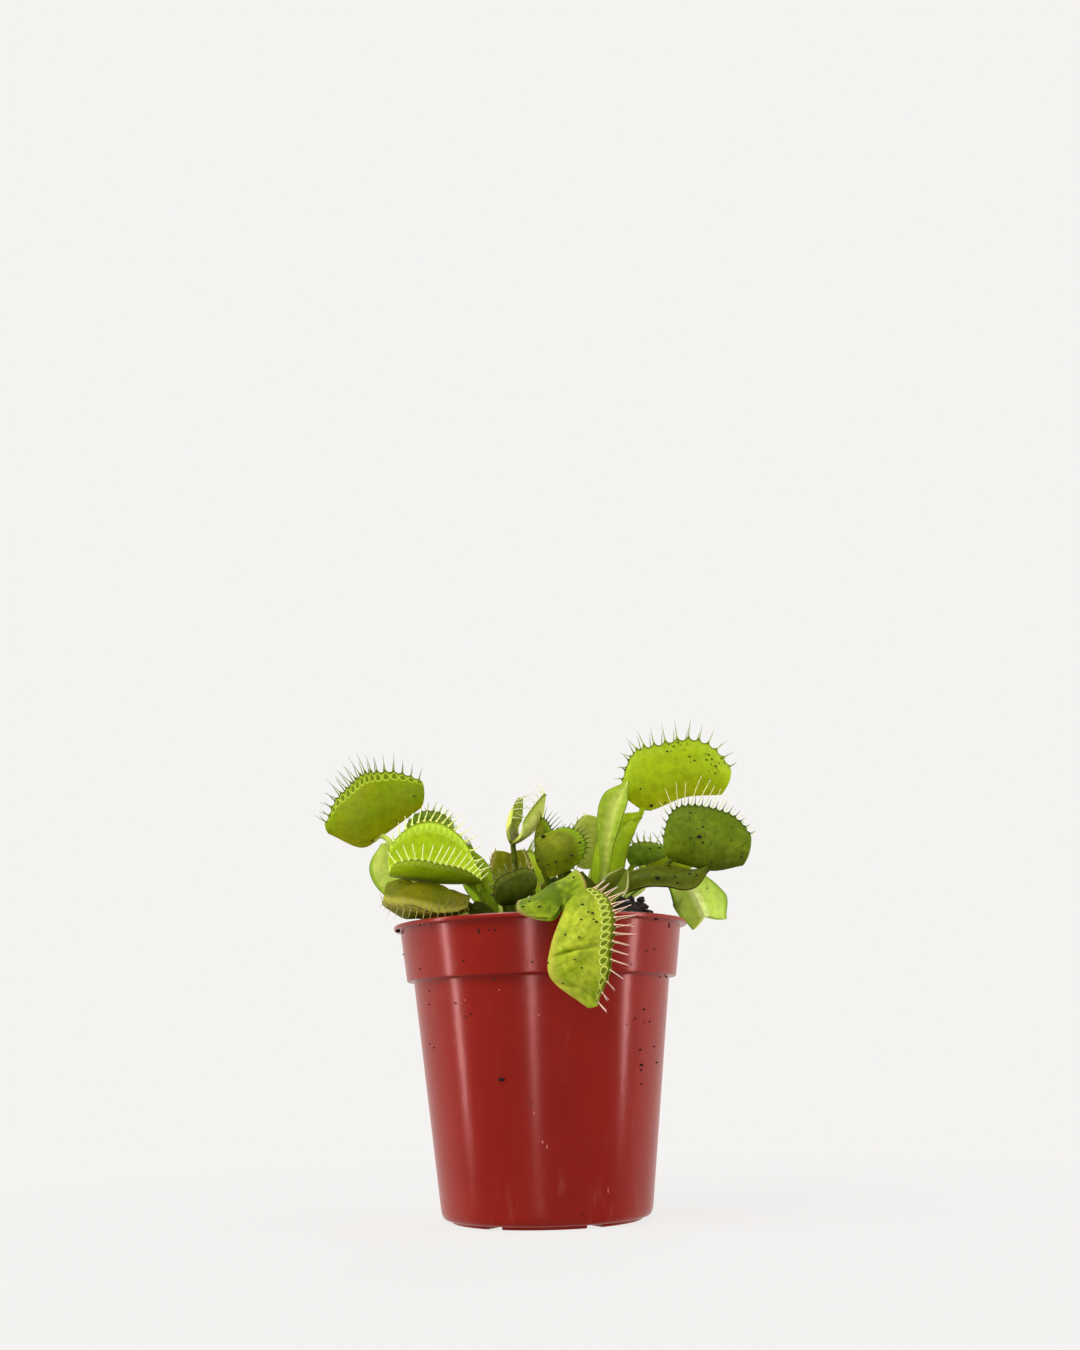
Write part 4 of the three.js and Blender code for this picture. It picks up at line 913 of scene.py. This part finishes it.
# What a skin shows of each feature: those of the traps, and of the blades that differ from STALK_NUMBERS.
SKIN_NUMBERS = {
    "olive": dict(Cells=0.8, Cell_height=0.062, Specks=0.01, Veins=0.08, Gloss=0.36),
    "fresh": dict(Cells=0.25, Specks=0.01, Veins=0.1, Rib_width=0.5),
    "aged": dict(Cells=0.0, Patches=0.9, Specks=0.12, Veins=0.06, Rib_width=0.5, Rim_start=0.84, Hem=0.2),
    "young": dict(Cells=0.0, Patches=0.8, Veins=0.2),
    "tan_olive": dict(Cells=0.0, Patches=0.8, Veins=0.2),
    "dark": dict(Cells=0.15, Specks=0.06, Veins=0.1),
    "green": dict(Cells=0.2),
    "spotted": dict(Cells=0.0, Specks=0.22, Patches=0.8, Veins=0.12),
    "pale": dict(Cells=0.1, Veins=0.3),
    "bright": dict(Cells=0.12, Veins=0.1, Specks=0.14),
    "deep": dict(Cells=0.08, Specks=0.3, Patches=0.8, Veins=0.15),
    "pale_front": dict(Cells=1.0, Cell_height=0.062, Specks=0.05, Veins=0.15, Patches=0.9, Rib_width=0.3),
    "dark_stalk": dict(Cells=0.0, Veins=0.1, Specks=0.22, Patches=0.8, Rib_width=0.16),
    "lens_blade": dict(Cells=0.0, Veins=0.1, Specks=0.02, Patches=0.5, Rib_width=0.7, Rim_start=0.84),
    "front_blade": dict(Cells=0.0, Veins=0.1, Specks=0.1, Patches=0.85, Rib_width=0.2, Rim_start=0.9,
                        Gloss=0.62),
}
STALK_NUMBERS = dict(Cells=0.0, Veins=0.1, Specks=0.06, Patches=0.7, Rib_width=0.16)


# ---------- pot ----------
def rounded(corners, steps=4):
    """Outline with each corner (radius, height, rounding) turned into a small curve."""
    outline = []
    for k, (r, z, size) in enumerate(corners):
        here = Vector((r, 0, z))
        if not size or k in (0, len(corners) - 1):
            outline.append(here)
            continue
        ends = [Vector((corners[n][0], 0, corners[n][1])) for n in (k - 1, k + 1)]
        start, stop = (here + (end - here).normalized() * min(size, (end - here).length * 0.45)
                       for end in ends)
        for i in range(steps + 1):
            t = i / steps
            outline.append(start * (1 - t) ** 2 + here * 2 * t * (1 - t) + stop * t ** 2)
    return outline


def turned(outline, steps):
    """Body turned about the Z axis from an outline that starts and ends on it."""
    bm = bmesh.new()
    verts = [bm.verts.new(p) for p in outline]
    edges = [bm.edges.new(pair) for pair in zip(verts, verts[1:])]
    bmesh.ops.spin(bm, geom=verts + edges, cent=(0, 0, 0), axis=(0, 0, 1), angle=math.tau, steps=steps,
                   use_merge=True)
    bmesh.ops.remove_doubles(bm, verts=bm.verts, dist=1e-4)
    bmesh.ops.recalc_face_normals(bm, faces=bm.faces)
    return bm


def cutters(make):
    """Passing object with one cutting shape at each drain channel."""
    bm = bmesh.new()
    for k in range(CHANNELS):
        turn = Matrix.Rotation(math.radians(CHANNEL_TURN + k * 360 / CHANNELS), 4, "Z")
        make(bm, turn @ Matrix.Translation((DRAIN_AT, 0, 0)))
    return placed("cutter", mesh_of("cutter", bm))


def channel(bm, place):
    """Straight cut through the foot."""
    size = Matrix.Diagonal((CHANNEL_LENGTH, CHANNEL_WIDTH, FOOT_DEPTH * 2, 1))
    bmesh.ops.create_cube(bm, size=1, matrix=place @ size)


def drain(bm, place):
    """Round hole through the floor."""
    bmesh.ops.create_cone(bm, cap_ends=True, segments=32, radius1=DRAIN_RADIUS, radius2=DRAIN_RADIUS,
                          depth=FLOOR_TOP * 4, matrix=place)


def pot_mesh():
    """Turned pot: foot, wall, collar, lip and inside, with its drain channels and holes."""
    lip_low = POT_HEIGHT - LIP_THICK
    inner_low, inner_high = BODY_LOW_RADIUS - WALL, BODY_TOP_RADIUS - WALL
    outside = [
        (0, 0, 0), (FOOT_RADIUS, 0, 0.5), (FOOT_RADIUS + 0.1, FOOT_DEPTH, 0.2),
        (BODY_LOW_RADIUS, FOOT_DEPTH + 0.1, CORNER), (BODY_TOP_RADIUS, COLLAR_LOW, 0.5),
        (COLLAR_LOW_RADIUS, COLLAR_LOW, 0.45), (COLLAR_TOP_RADIUS, lip_low, 0.35),
        (LIP_RADIUS, lip_low, 0.45), (LIP_RADIUS, POT_HEIGHT, 0.5)]
    inside = [
        (COLLAR_TOP_RADIUS - WALL, POT_HEIGHT, 0.6), (COLLAR_LOW_RADIUS - WALL, COLLAR_LOW + WALL, 0.6),
        (inner_high, COLLAR_LOW, 0.6), (inner_low, FLOOR_TOP, CORNER), (0, FLOOR_TOP, 0)]
    bm = turned(rounded(outside + inside), POT_STEPS)
    tools = [cutters(channel), cutters(drain)]
    mesh = settled(bm, [("BOOLEAN", dict(operation="DIFFERENCE", solver="EXACT", object=tool))
                        for tool in tools])
    for tool in tools:
        bpy.data.objects.remove(tool)
    return mesh


# ---------- peat ----------
def peat_height(x, y):
    """Height of the peat's top: soft waves, the mound and a shallow dip in the middle."""
    def lump(p, q, rise, spread):
        return rise * math.exp(-((x - p) ** 2 + (y - q) ** 2) / spread ** 2)

    broad = 0.5 * math.sin(x * 0.31 + 1.3) * math.cos(y * 0.27)
    narrow = 0.35 * math.sin(x * 0.71 - y * 0.53)
    mound = lump(MOUND["x"], MOUND["y"], MOUND["rise"], MOUND["spread"])
    return PEAT_TOP + broad + narrow + mound - lump(0, 0, 1, 14)


def on_peat(x, y):
    """Point on the peat's top."""
    return Vector((x, y, peat_height(x, y)))


def anywhere(draw, radius):
    """Random x and y within a radius of the pot's axis."""
    reach, turn = radius * math.sqrt(draw.random()), draw.uniform(0, math.tau)
    return reach * math.cos(turn), reach * math.sin(turn)


def peat_mesh():
    """Peat that fills the pot, with a ragged top."""
    inner_low, inner_high = BODY_LOW_RADIUS - WALL - PEAT_GAP, BODY_TOP_RADIUS - WALL - PEAT_GAP
    bottom = FLOOR_TOP + PEAT_LIFT
    sides = [(0, bottom, 0), (inner_low, bottom, 2.0), (inner_high, COLLAR_LOW - 0.4, 0.5),
             (PEAT_WALL + 0.1, COLLAR_LOW + WALL + 0.9, 0.5)]
    top = [((PEAT_WALL + 0.8) * (1 - k / PEAT_RINGS), PEAT_TOP, 0) for k in range(PEAT_RINGS + 1)]
    bm = turned(rounded([*sides, *top]), PEAT_STEPS)
    for v in bm.verts:
        if v.co.z > PEAT_TOP - 0.5:
            x, y = v.co.xy
            ragged = noise.fractal(Vector((x, y, 0)) * 0.45, 0.7, 2.1, 5) * 0.55
            v.co.z = peat_height(x, y) + ragged + noise.noise(Vector((x, y, 5)) * 0.2) * 0.5
    return settled(bm)


def clod(bm, spot, size, draw, detail=1, flat=0.75):
    """Ragged lump of soil, size being its radius and flat its height against its width."""
    turn = Matrix.Rotation(draw.uniform(0, math.tau), 4, "Z") @ Matrix.Rotation(draw.uniform(0, 1.5), 4, "X")
    made = bmesh.ops.create_icosphere(bm, subdivisions=detail, radius=1)["verts"]
    stretch = Vector((1, draw.uniform(0.6, 0.95), flat * draw.uniform(0.7, 1)))
    shift = draw.uniform(0, 50)
    for v in made:
        ragged = 1 + 0.5 * noise.noise(v.co * 1.9 + Vector((shift, 0, 0))) + 0.2 * noise.noise(v.co * 5)
        v.co = Vector([c * s for c, s in zip(turn @ v.co * ragged, stretch)]) * size + spot


def crumbs_mesh(draw):
    """Loose crumbs over the peat and heaped on the mound."""
    bm = bmesh.new()
    for _ in range(LOOSE_CRUMBS):
        spot = on_peat(*anywhere(draw, PEAT_WALL - 0.6))
        clod(bm, spot, draw.uniform(0.3, 1.0), draw)
    for _ in range(MOUND_CRUMBS):
        x, y = draw.gauss(MOUND["x"], 4), draw.gauss(MOUND["y"] + 1, 3)
        if math.hypot(x, y) < PEAT_WALL - 1:
            clod(bm, on_peat(x, y), draw.uniform(0.5, 1.5), draw)
    for px, py, size in MOUND_CLODS:
        clod(bm, on_plane(px, py, MOUND["y"]), size, draw, detail=3, flat=0.95)
    return settled(bm)


def fibres_mesh(draw):
    """Fine roots and fibres lying on the peat."""
    bm = bmesh.new()
    for _ in range(FIBRES):
        x, y = anywhere(draw, PEAT_WALL - 5)
        lie, size = draw.uniform(0, math.tau), draw.uniform(2, 5.5)
        ways = [Vector((x + math.cos(lie + k * 0.35) * size * k / 3,
                        y + math.sin(lie + k * 0.35) * size * k / 3, 0)) for k in range(4)]
        for k, way in enumerate(ways):
            way.z = peat_height(way.x, way.y) + 0.35 + (draw.uniform(0, 1.3) if k == 2 else 0)
        spike(bm, curve(ways), lambda t: 0.13 * (1.15 - t), sides=4, rings=5)
    return settled(bm)


def moss_mesh(draw):
    """Tufts of moss near the pot's rim."""
    bm = bmesh.new()
    for turn, back, spread, count in MOSS_TUFTS:
        for _ in range(count):
            reach = PEAT_WALL - back + draw.gauss(0, spread * 0.4)
            reach, at = min(reach, PEAT_WALL - 0.5), math.radians(turn + draw.gauss(0, spread * 2))
            foot = on_peat(reach * math.cos(at), reach * math.sin(at))
            lean = Vector((draw.gauss(0, 0.5), draw.gauss(0, 0.5), draw.uniform(0.7, 1.4)))
            size = draw.uniform(1.2, 2.6)
            spike(bm, lambda t, a=foot, b=lean, c=size: a + b * c * t - Vector((0, 0, 0.5 * t * t)),
                  lambda t: 0.22 * (1.1 - t), sides=4, rings=3)
    return settled(bm)


# ---------- rhizomes ----------
def rhizome_mesh(x, y, seed):
    """Domed rhizome with the low scales of old leaf bases."""
    r, rise = CROWN_RADIUS, CROWN_TOP - CROWN_SHOULDER
    dome = [(r * math.cos(math.radians(a)), CROWN_SHOULDER + rise * math.sin(math.radians(a)), 0)
            for a in range(6, 90, 6)]
    sides = [(0, CROWN_FOOT, 0), (r - 0.4, CROWN_FOOT, 0.8), (r, CROWN_SHOULDER, 0)]
    bm = turned(rounded([*sides, *dome, (0, CROWN_TOP, 0)]), CROWN_STEPS)
    long = [e for e in bm.edges if e.calc_length() > 3]
    bmesh.ops.subdivide_edges(bm, edges=long, cuts=6, use_grid_fill=True)
    for v in bm.verts:
        turn, up = math.atan2(v.co.y, v.co.x), (v.co.z - CROWN_FOOT) / (CROWN_TOP - CROWN_FOOT)
        scale = abs(math.sin(turn * 4 + up * 9 + seed)) * (1 - up) * 0.5
        ragged = noise.fractal(v.co * 0.5 + Vector((seed, 0, 0)), 0.8, 2, 4) * 0.35
        out = Vector((v.co.x, v.co.y, 0)).normalized() if up < 0.97 else Vector((0, 0, 0))
        v.co += out * (scale + ragged - 0.5)
    bmesh.ops.translate(bm, verts=bm.verts, vec=(x, y, 0))
    return settled(bm)


# ---------- camera and places seen in the photograph ----------
VIEW_TURN = Matrix.Rotation(math.radians(90 + PITCH), 3, "X") @ Matrix.Rotation(math.radians(-ROLL), 3, "Z")
VIEW_SPOT = Vector((0, -CAMERA_BACK, CAMERA_UP))


def sight(px, py):
    """Direction from the camera through a pixel of the photograph."""
    ahead = Vector(((px - PRINCIPAL[0]) / FOCAL_PX, (PRINCIPAL[1] - py) / FOCAL_PX, -1))
    return (VIEW_TURN @ ahead).normalized()


def on_plane(px, py, y):
    """Point of a pixel's line of sight at depth y, in millimetres."""
    way = sight(px, py)
    start = VIEW_SPOT / MM
    return start + way * (y - start.y) / way.y


# Places seen in the photograph: a pixel's x and y, a size in millimetres and, on the pot, how many times
# taller than wide.
POT_GRAINS = [(397.8, 930.3, 0.9, 1), (403.7, 954.5, 0.4, 1), (402.5, 932.7, 0.4, 1),
              (420.8, 924.6, 0.4, 1), (420.4, 969, 0.45, 1), (478.5, 931, 0.3, 5), (495, 930.3, 0.4, 1),
              (489, 930, 0.3, 1), (463.5, 960.7, 0.4, 1), (532, 962, 0.35, 1), (456, 1003.4, 0.45, 1),
              (471, 1014, 0.4, 1), (466, 1017, 0.35, 1), (429.4, 1004.6, 0.4, 1), (429.4, 991, 0.35, 1),
              (429.9, 1043.8, 0.4, 1), (434, 1047.6, 0.35, 1), (501.5, 1079.4, 1.1, 0.7),
              (531, 1104, 0.35, 1), (644, 1009.4, 0.5, 1), (649.4, 1021.7, 0.4, 1), (644, 1022.4, 0.35, 1),
              (635, 1018.4, 0.35, 1), (626.4, 1024.8, 0.35, 1), (654.2, 1046.6, 0.4, 1),
              (640, 1049.7, 0.45, 1), (641, 1065, 0.75, 1), (641, 1070, 0.5, 1), (656.5, 1062.3, 0.45, 1),
              (641, 1084, 0.4, 1), (666, 976.8, 0.4, 1), (669, 925, 0.25, 6), (655.4, 919.2, 0.7, 0.6),
              (646.3, 951, 0.4, 1), (654.2, 949, 0.35, 1), (631.6, 964.3, 0.4, 1), (659.6, 977, 0.35, 1),
              (413, 994, 0.35, 1), (581.8, 1213.5, 0.35, 1)]
POT_SCUFFS = [(499.4, 990, 0.3, 1), (465, 1000, 0.3, 1), (539, 1014.8, 0.3, 1), (534, 1113, 0.3, 1),
              (542.6, 1142, 0.22, 3), (547, 1147, 0.15, 9), (608, 1190, 0.14, 16)]
LEAF_GRAINS = {
    "leaf_spotted": [(543.7, 836.8, 0.7), (579.9, 842.6, 0.35), (571.8, 855.2, 0.35), (556, 862, 0.35),
                     (548.3, 864.4, 0.3), (538, 860, 0.3)],
    "leaf_tall_right": [(651.4, 805.5, 0.6), (667.2, 751.5, 0.35), (678, 742.6, 0.3), (673.5, 746.4, 0.3),
                        (689.5, 756.6, 0.3), (694.6, 760.4, 0.3), (706.7, 759.8, 0.35), (711.8, 759.1, 0.3),
                        (715.6, 766.1, 0.35), (721.4, 758.5, 0.3), (715, 773.2, 0.3), (665.3, 802.5, 0.35),
                        (669, 745, 0.2), (671, 751, 0.2), (681, 745, 0.2), (685, 750, 0.2),
                        (687, 744, 0.18), (711, 764, 0.22), (717, 768, 0.22), (719, 763, 0.2),
                        (709, 771, 0.2), (725, 764, 0.2), (706, 754, 0.2), (718, 771, 0.18),
                        (664, 747, 0.18), (691, 762, 0.18), (676, 758, 0.18)],
    "leaf_small_right": [(628.3, 848.4, 0.4), (650, 848.4, 0.35), (659.5, 847.8, 0.35), (664, 858.6, 0.35),
                         (608, 868.4, 0.4)],
    "leaf_front": [(574, 877.6, 0.4), (539.3, 906.9, 0.4), (529.6, 901.7, 0.35), (523, 906.9, 0.35),
                   (582.7, 904.6, 0.4), (592.5, 913.2, 0.4), (596.5, 921.8, 0.35), (581.3, 919.5, 0.35),
                   (588.2, 912, 0.3), (593.6, 919.2, 0.3), (581.8, 967.8, 0.3), (579.4, 937, 0.3),
                   (548.5, 963, 0.3), (562.8, 983.3, 0.3), (574.7, 959.5, 0.3)],
    "leaf_dark_right": [(699, 836.9, 0.7), (702.9, 826.7, 0.35), (702.9, 842.7, 0.35), (690.8, 838.2, 0.3),
                        (690.8, 812.7, 0.3), (663.3, 860.5, 0.35), (741.8, 856.7, 0.3), (711.8, 861.8, 0.3),
                        (724.6, 863.7, 0.3), (745.6, 824.8, 0.3), (734, 809.5, 0.6), (674.8, 877, 0.3),
                        (677.4, 882.9, 0.35), (689.5, 873.9, 0.35), (657.6, 877.8, 0.7), (697, 829, 0.2),
                        (705, 834, 0.22), (708, 829, 0.2), (694, 843, 0.22), (686, 833, 0.18),
                        (711, 843, 0.2), (702, 820, 0.2), (716, 836, 0.18), (683, 845, 0.18),
                        (726, 848, 0.2), (731, 840, 0.2)],
    "leaf_tall_left": [(414.2, 796.3, 0.35), (371.8, 840.6, 0.35)],
}
MOUND_CLODS = [(621, 901, 1.3), (617, 907, 1.5), (631, 899.5, 1.0), (630, 906, 1.5), (641, 900, 1.1),
               (642, 907, 1.4), (648, 913, 1.3), (628, 911, 1.8), (614, 911, 1.5), (637, 910, 1.3),
               (653, 917, 1.1)]

# Tufts of moss: angle in degrees, distance from the peat's edge, spread, and how many stems.
MOSS_TUFTS = [(-118, 3.0, 2.2, 60), (-108, 4.0, 2.0, 40), (-62, 3.0, 1.6, 30), (150, 5.0, 2.5, 60),
              (60, 6.0, 2.5, 50)]


def grains_mesh(body, places, draw, share=1.0):
    """Crumbs stuck to a body where the photograph shows them, at a share of the sizes in places."""
    tree = BVHTree.FromPolygons([v.co / MM for v in body.data.vertices],
                                [p.vertices for p in body.data.polygons])
    bm = bmesh.new()
    for px, py, size, *tall in places:
        hit, normal, _, _ = tree.ray_cast(VIEW_SPOT / MM, sight(px, py))
        if hit is None:
            continue
        before = len(bm.verts)
        size *= share
        clod(bm, Vector((0, 0, 0)), size, draw, detail=2, flat=0.8)
        bm.verts.ensure_lookup_table()
        made = bm.verts[before:]
        if tall:
            bmesh.ops.scale(bm, vec=(1, 1, tall[0]), verts=made)
        bmesh.ops.translate(bm, verts=made, vec=hit + normal * size * 0.25)
    return settled(bm)


# Short young leaves that fill the heart of the right crown.
YOUNG_LEAVES = [
    dict(path=[[10.6, -2.2, 83.4], [9.8, -4.4, 91.5], [6.2, -6, 102]], side=[0.9, 0.1, 0.4],
         wide=[1.2, 3.4, 4.4, 3.4, 1]),
    dict(path=[[14.6, -2.6, 83.4], [14.6, -5, 91], [12, -6.4, 99.5]], side=[0.9, 0.2, 0.3],
         wide=[1.2, 2.6, 3.2, 0.8]),
    dict(path=[[17.4, -2.4, 83], [19.6, -5.6, 90], [21.6, -7, 97]], side=[0.9, 0.2, -0.3],
         wide=[1.2, 2.4, 2.6, 0.8]),
]


def young_leaves():
    """Young leaves of the right crown, still without traps."""
    blades = [(0, blade(**leaf, heart=0, seed=k)) for k, leaf in enumerate(YOUNG_LEAVES)]
    piece("young_leaves", blades, [FINISHES["dark_stalk"]], "crown_right")


# ---------- putting the plant together ----------
def grow_leaf(name, kind, draw):
    """One leaf from its entry: blade, stalk, trap and bristles in one piece."""
    seed = draw.uniform(0, 40)
    parts = [(1, blade(**kind["stem"], seed=seed))]
    skin = kind.get("skin", kind["stem_skin"])
    # slot 2 is the far bristle row, which a leaf may give a paler skin as painted light
    finishes = [FINISHES[skin], FINISHES[kind["stem_skin"]], FINISHES[kind.get("lit_far_skin", skin)]]
    if "snap" in kind:
        trap = Trap(**kind["snap"], seed=seed)
        parts += [(0, trap.lobes()), (0, trap.bristles(draw, trap.near)),
                  (2, trap.bristles(draw, -trap.near)),
                  (1, stalk(kind["stem"], kind["snap"], kind.get("joint", JOINT_AT), kind.get("bend", []),
                            kind.get("leave_at", LEAVE_AT)))]
    return piece(name.replace("leaf", "grown"), parts, finishes, name)


FINISHES = {name: leaf_finish(name + " leaf", palette, SKIN_NUMBERS.get(name, STALK_NUMBERS))
            for name, palette in SKINS.items()}
draw = random.Random(SEED)
plant = {name: grow_leaf(name, kind, draw) for name, kind in LEAVES.items()}
young_leaves()
pot = piece("red_pot", [(0, pot_mesh())], [pot_finish()], "pot", sharp=35)
PEAT = peat_finish()
piece("damp_peat", [(0, peat_mesh())], [PEAT], "peat")
RHIZOME = rhizome_finish()
for seed, (name, (x, y)) in enumerate(CROWNS.items()):
    piece(name.replace("crown", "rhizome"), [(0, rhizome_mesh(x, y, seed * 3.7))], [RHIZOME], name, sharp=80)
piece("soil_crumbs", [(0, crumbs_mesh(draw))], [PEAT], "peat_dressing", sharp=60)
piece("soil_fibres", [(0, fibres_mesh(draw))], [fibre_finish()], "peat_dressing")
piece("moss", [(0, moss_mesh(draw))], [moss_finish()], "peat_dressing")
piece("soil_on_pot", [(0, grains_mesh(pot, POT_GRAINS, draw, 0.8))], [PEAT], "peat_dressing")
piece("scuffs_on_pot", [(0, grains_mesh(pot, POT_SCUFFS, draw, 0.7))], [scuff_finish()], "pot")
piece("soil_on_leaves", [(0, grains_mesh(plant[name], places, draw)) for name, places in LEAF_GRAINS.items()],
      [PEAT], "peat_dressing")


# ---------- floor, camera and light ----------
BACKDROP, FLOOR_GREY = (245, 243, 241), (70, 70, 70)
AMBIENT, MIRRORED = (244, 241, 240), (250, 232, 226)
FLOOR_REACH, FLOOR_GLOW = 6, 0.87             # metres, and the light that the floor gives off itself
FLOOR_FADE = (0.10, 0.30)        # distances over which the shadow fades, in metres
AMBIENT_POWER = 0.6
GLOSS_POWER = (0.22, 0.85)       # what glossy surfaces mirror: a dim room in front and a bright one behind
GLOSS_TURN = (-0.12, 0.25)       # where one becomes the other, from front to back
AIM, STRIP_TOP = (0, 0, 0.07), 0.5            # metres: where the panels face, and the strips' upper ends
SENSOR = 36                      # millimetres


def floor():
    """Pale floor that fades into the backdrop, with a faint contact shadow."""
    bm = bmesh.new()
    bmesh.ops.create_grid(bm, x_segments=2, y_segments=2, size=FLOOR_REACH)
    body = placed("floor", mesh_of("floor", bm))
    material, tree = blank("pale floor")
    tree.nodes.clear()
    where = spot_on(tree)
    away = put(tree, "ShaderNodeVectorMath", {0: where}, operation="LENGTH").outputs["Value"]
    plain = put(tree, "ShaderNodeEmission", {0: shade(*BACKDROP), 1: 1.0}).outputs[0]
    glow = put(tree, "ShaderNodeEmission", {0: shade(*BACKDROP), 1: FLOOR_GLOW}).outputs[0]
    lit = put(tree, "ShaderNodeBsdfDiffuse", {0: shade(*FLOOR_GREY)}).outputs[0]
    near = put(tree, "ShaderNodeAddShader", {0: glow, 1: lit}).outputs[0]
    share = rising(tree, away, *FLOOR_FADE)
    mixed = put(tree, "ShaderNodeMixShader", {0: share, 1: near, 2: plain}).outputs[0]
    put(tree, "ShaderNodeOutputMaterial", {0: mixed})
    body.data.materials.append(material)
    body.visible_glossy = body.visible_shadow = body.visible_diffuse = False


def camera():
    """Camera that sees the pot as the photograph does."""
    data = bpy.data.cameras.new("camera")
    data.sensor_fit, data.sensor_width = "AUTO", SENSOR
    data.lens = FOCAL_PX / FRAME_H * SENSOR
    data.shift_x = (FRAME_W / 2 - PRINCIPAL[0]) / FRAME_H
    data.shift_y = (PRINCIPAL[1] - FRAME_H / 2) / FRAME_H
    data.clip_start = 0.01
    body = placed("camera", data)
    body.matrix_world = Matrix.Translation(VIEW_SPOT) @ VIEW_TURN.to_4x4()
    bpy.context.scene.camera = body


def panel(name, spot, aim, size, power, tint=(1, 1, 1), mirrored=True):
    """Soft light panel that the camera doesn't see. size is its width and height, and power its watts."""
    data = bpy.data.lights.new(name, "AREA")
    data.shape, data.size, data.size_y = "RECTANGLE", size[0], size[1]
    data.energy, data.color = power, tint
    body = placed(name, data)
    way = Vector(aim) - Vector(spot)
    body.matrix_world = Matrix.Translation(spot) @ way.to_track_quat("-Z", "Y").to_matrix().to_4x4()
    body.visible_camera, body.visible_glossy = False, mirrored


def strip(name, angle, reach, width, low, brightness):
    """Upright strip of light that the pot mirrors, at an angle in degrees to the right of the front.

    reach is its distance, low the height of its lower end and brightness its watts to the square metre.
    """
    tall = STRIP_TOP - low
    spot = (reach * math.sin(math.radians(angle)), -reach * math.cos(math.radians(angle)), low + tall / 2)
    panel(name, spot, (0, 0, spot[2]), (width, tall), brightness * width * tall)


def backdrop():
    """Pale world as the camera sees it, dimmer as a light, and a room from dim to bright in the gloss."""
    world = bpy.data.worlds.new("backdrop")
    bpy.context.scene.world = world
    world.use_nodes = True
    tree = world.node_tree
    tree.nodes.clear()
    seen = put(tree, "ShaderNodeBackground", {0: shade(*BACKDROP), 1: 1.0}).outputs[0]
    light = put(tree, "ShaderNodeBackground", {0: shade(*AMBIENT), 1: AMBIENT_POWER}).outputs[0]
    way = put(tree, "ShaderNodeTexCoord").outputs["Generated"]
    facing = put(tree, "ShaderNodeSeparateXYZ", {0: way}).outputs[1]
    (start, stop), (dim, bright) = GLOSS_TURN, GLOSS_POWER
    power = put(tree, "ShaderNodeMapRange", {0: facing, 1: start, 2: stop, 3: dim, 4: bright}).outputs[0]
    gloss = put(tree, "ShaderNodeBackground", {0: shade(*MIRRORED), 1: power}).outputs[0]
    ray = put(tree, "ShaderNodeLightPath").outputs
    mixed = put(tree, "ShaderNodeMixShader", {0: ray["Is Glossy Ray"], 1: light, 2: gloss}).outputs[0]
    mixed = put(tree, "ShaderNodeMixShader", {0: ray["Is Camera Ray"], 1: mixed, 2: seen}).outputs[0]
    put(tree, "ShaderNodeOutputWorld", {0: mixed})


floor()
camera()
backdrop()
panel("key", (-0.55, -0.60, 0.95), AIM, (0.6, 0.6), 11, (1, 0.99, 0.97))
panel("fill", (0.85, -0.5, 0.45), AIM, (0.6, 0.6), 3)
panel("back", (0.2, 0.9, 0.8), AIM, (0.8, 0.6), 7)
panel("bounce", (0.1, -0.5, -0.6), AIM, (0.8, 0.6), 1.5, mirrored=False)
panel("left side", (-0.95, 0.15, 0.25), AIM, (0.5, 0.5), 5.5, mirrored=False)
panel("right side", (0.95, 0.15, 0.25), AIM, (0.5, 0.5), 4.4, mirrored=False)
strip("left strip", -82, 0.6, 0.03, -0.115, 62)
strip("right strip", 80, 0.6, 0.03, -0.10, 62)
strip("centre strip", -9, 0.9, 0.05, -0.24, 54)
bpy.context.scene.view_settings.view_transform = "Standard"
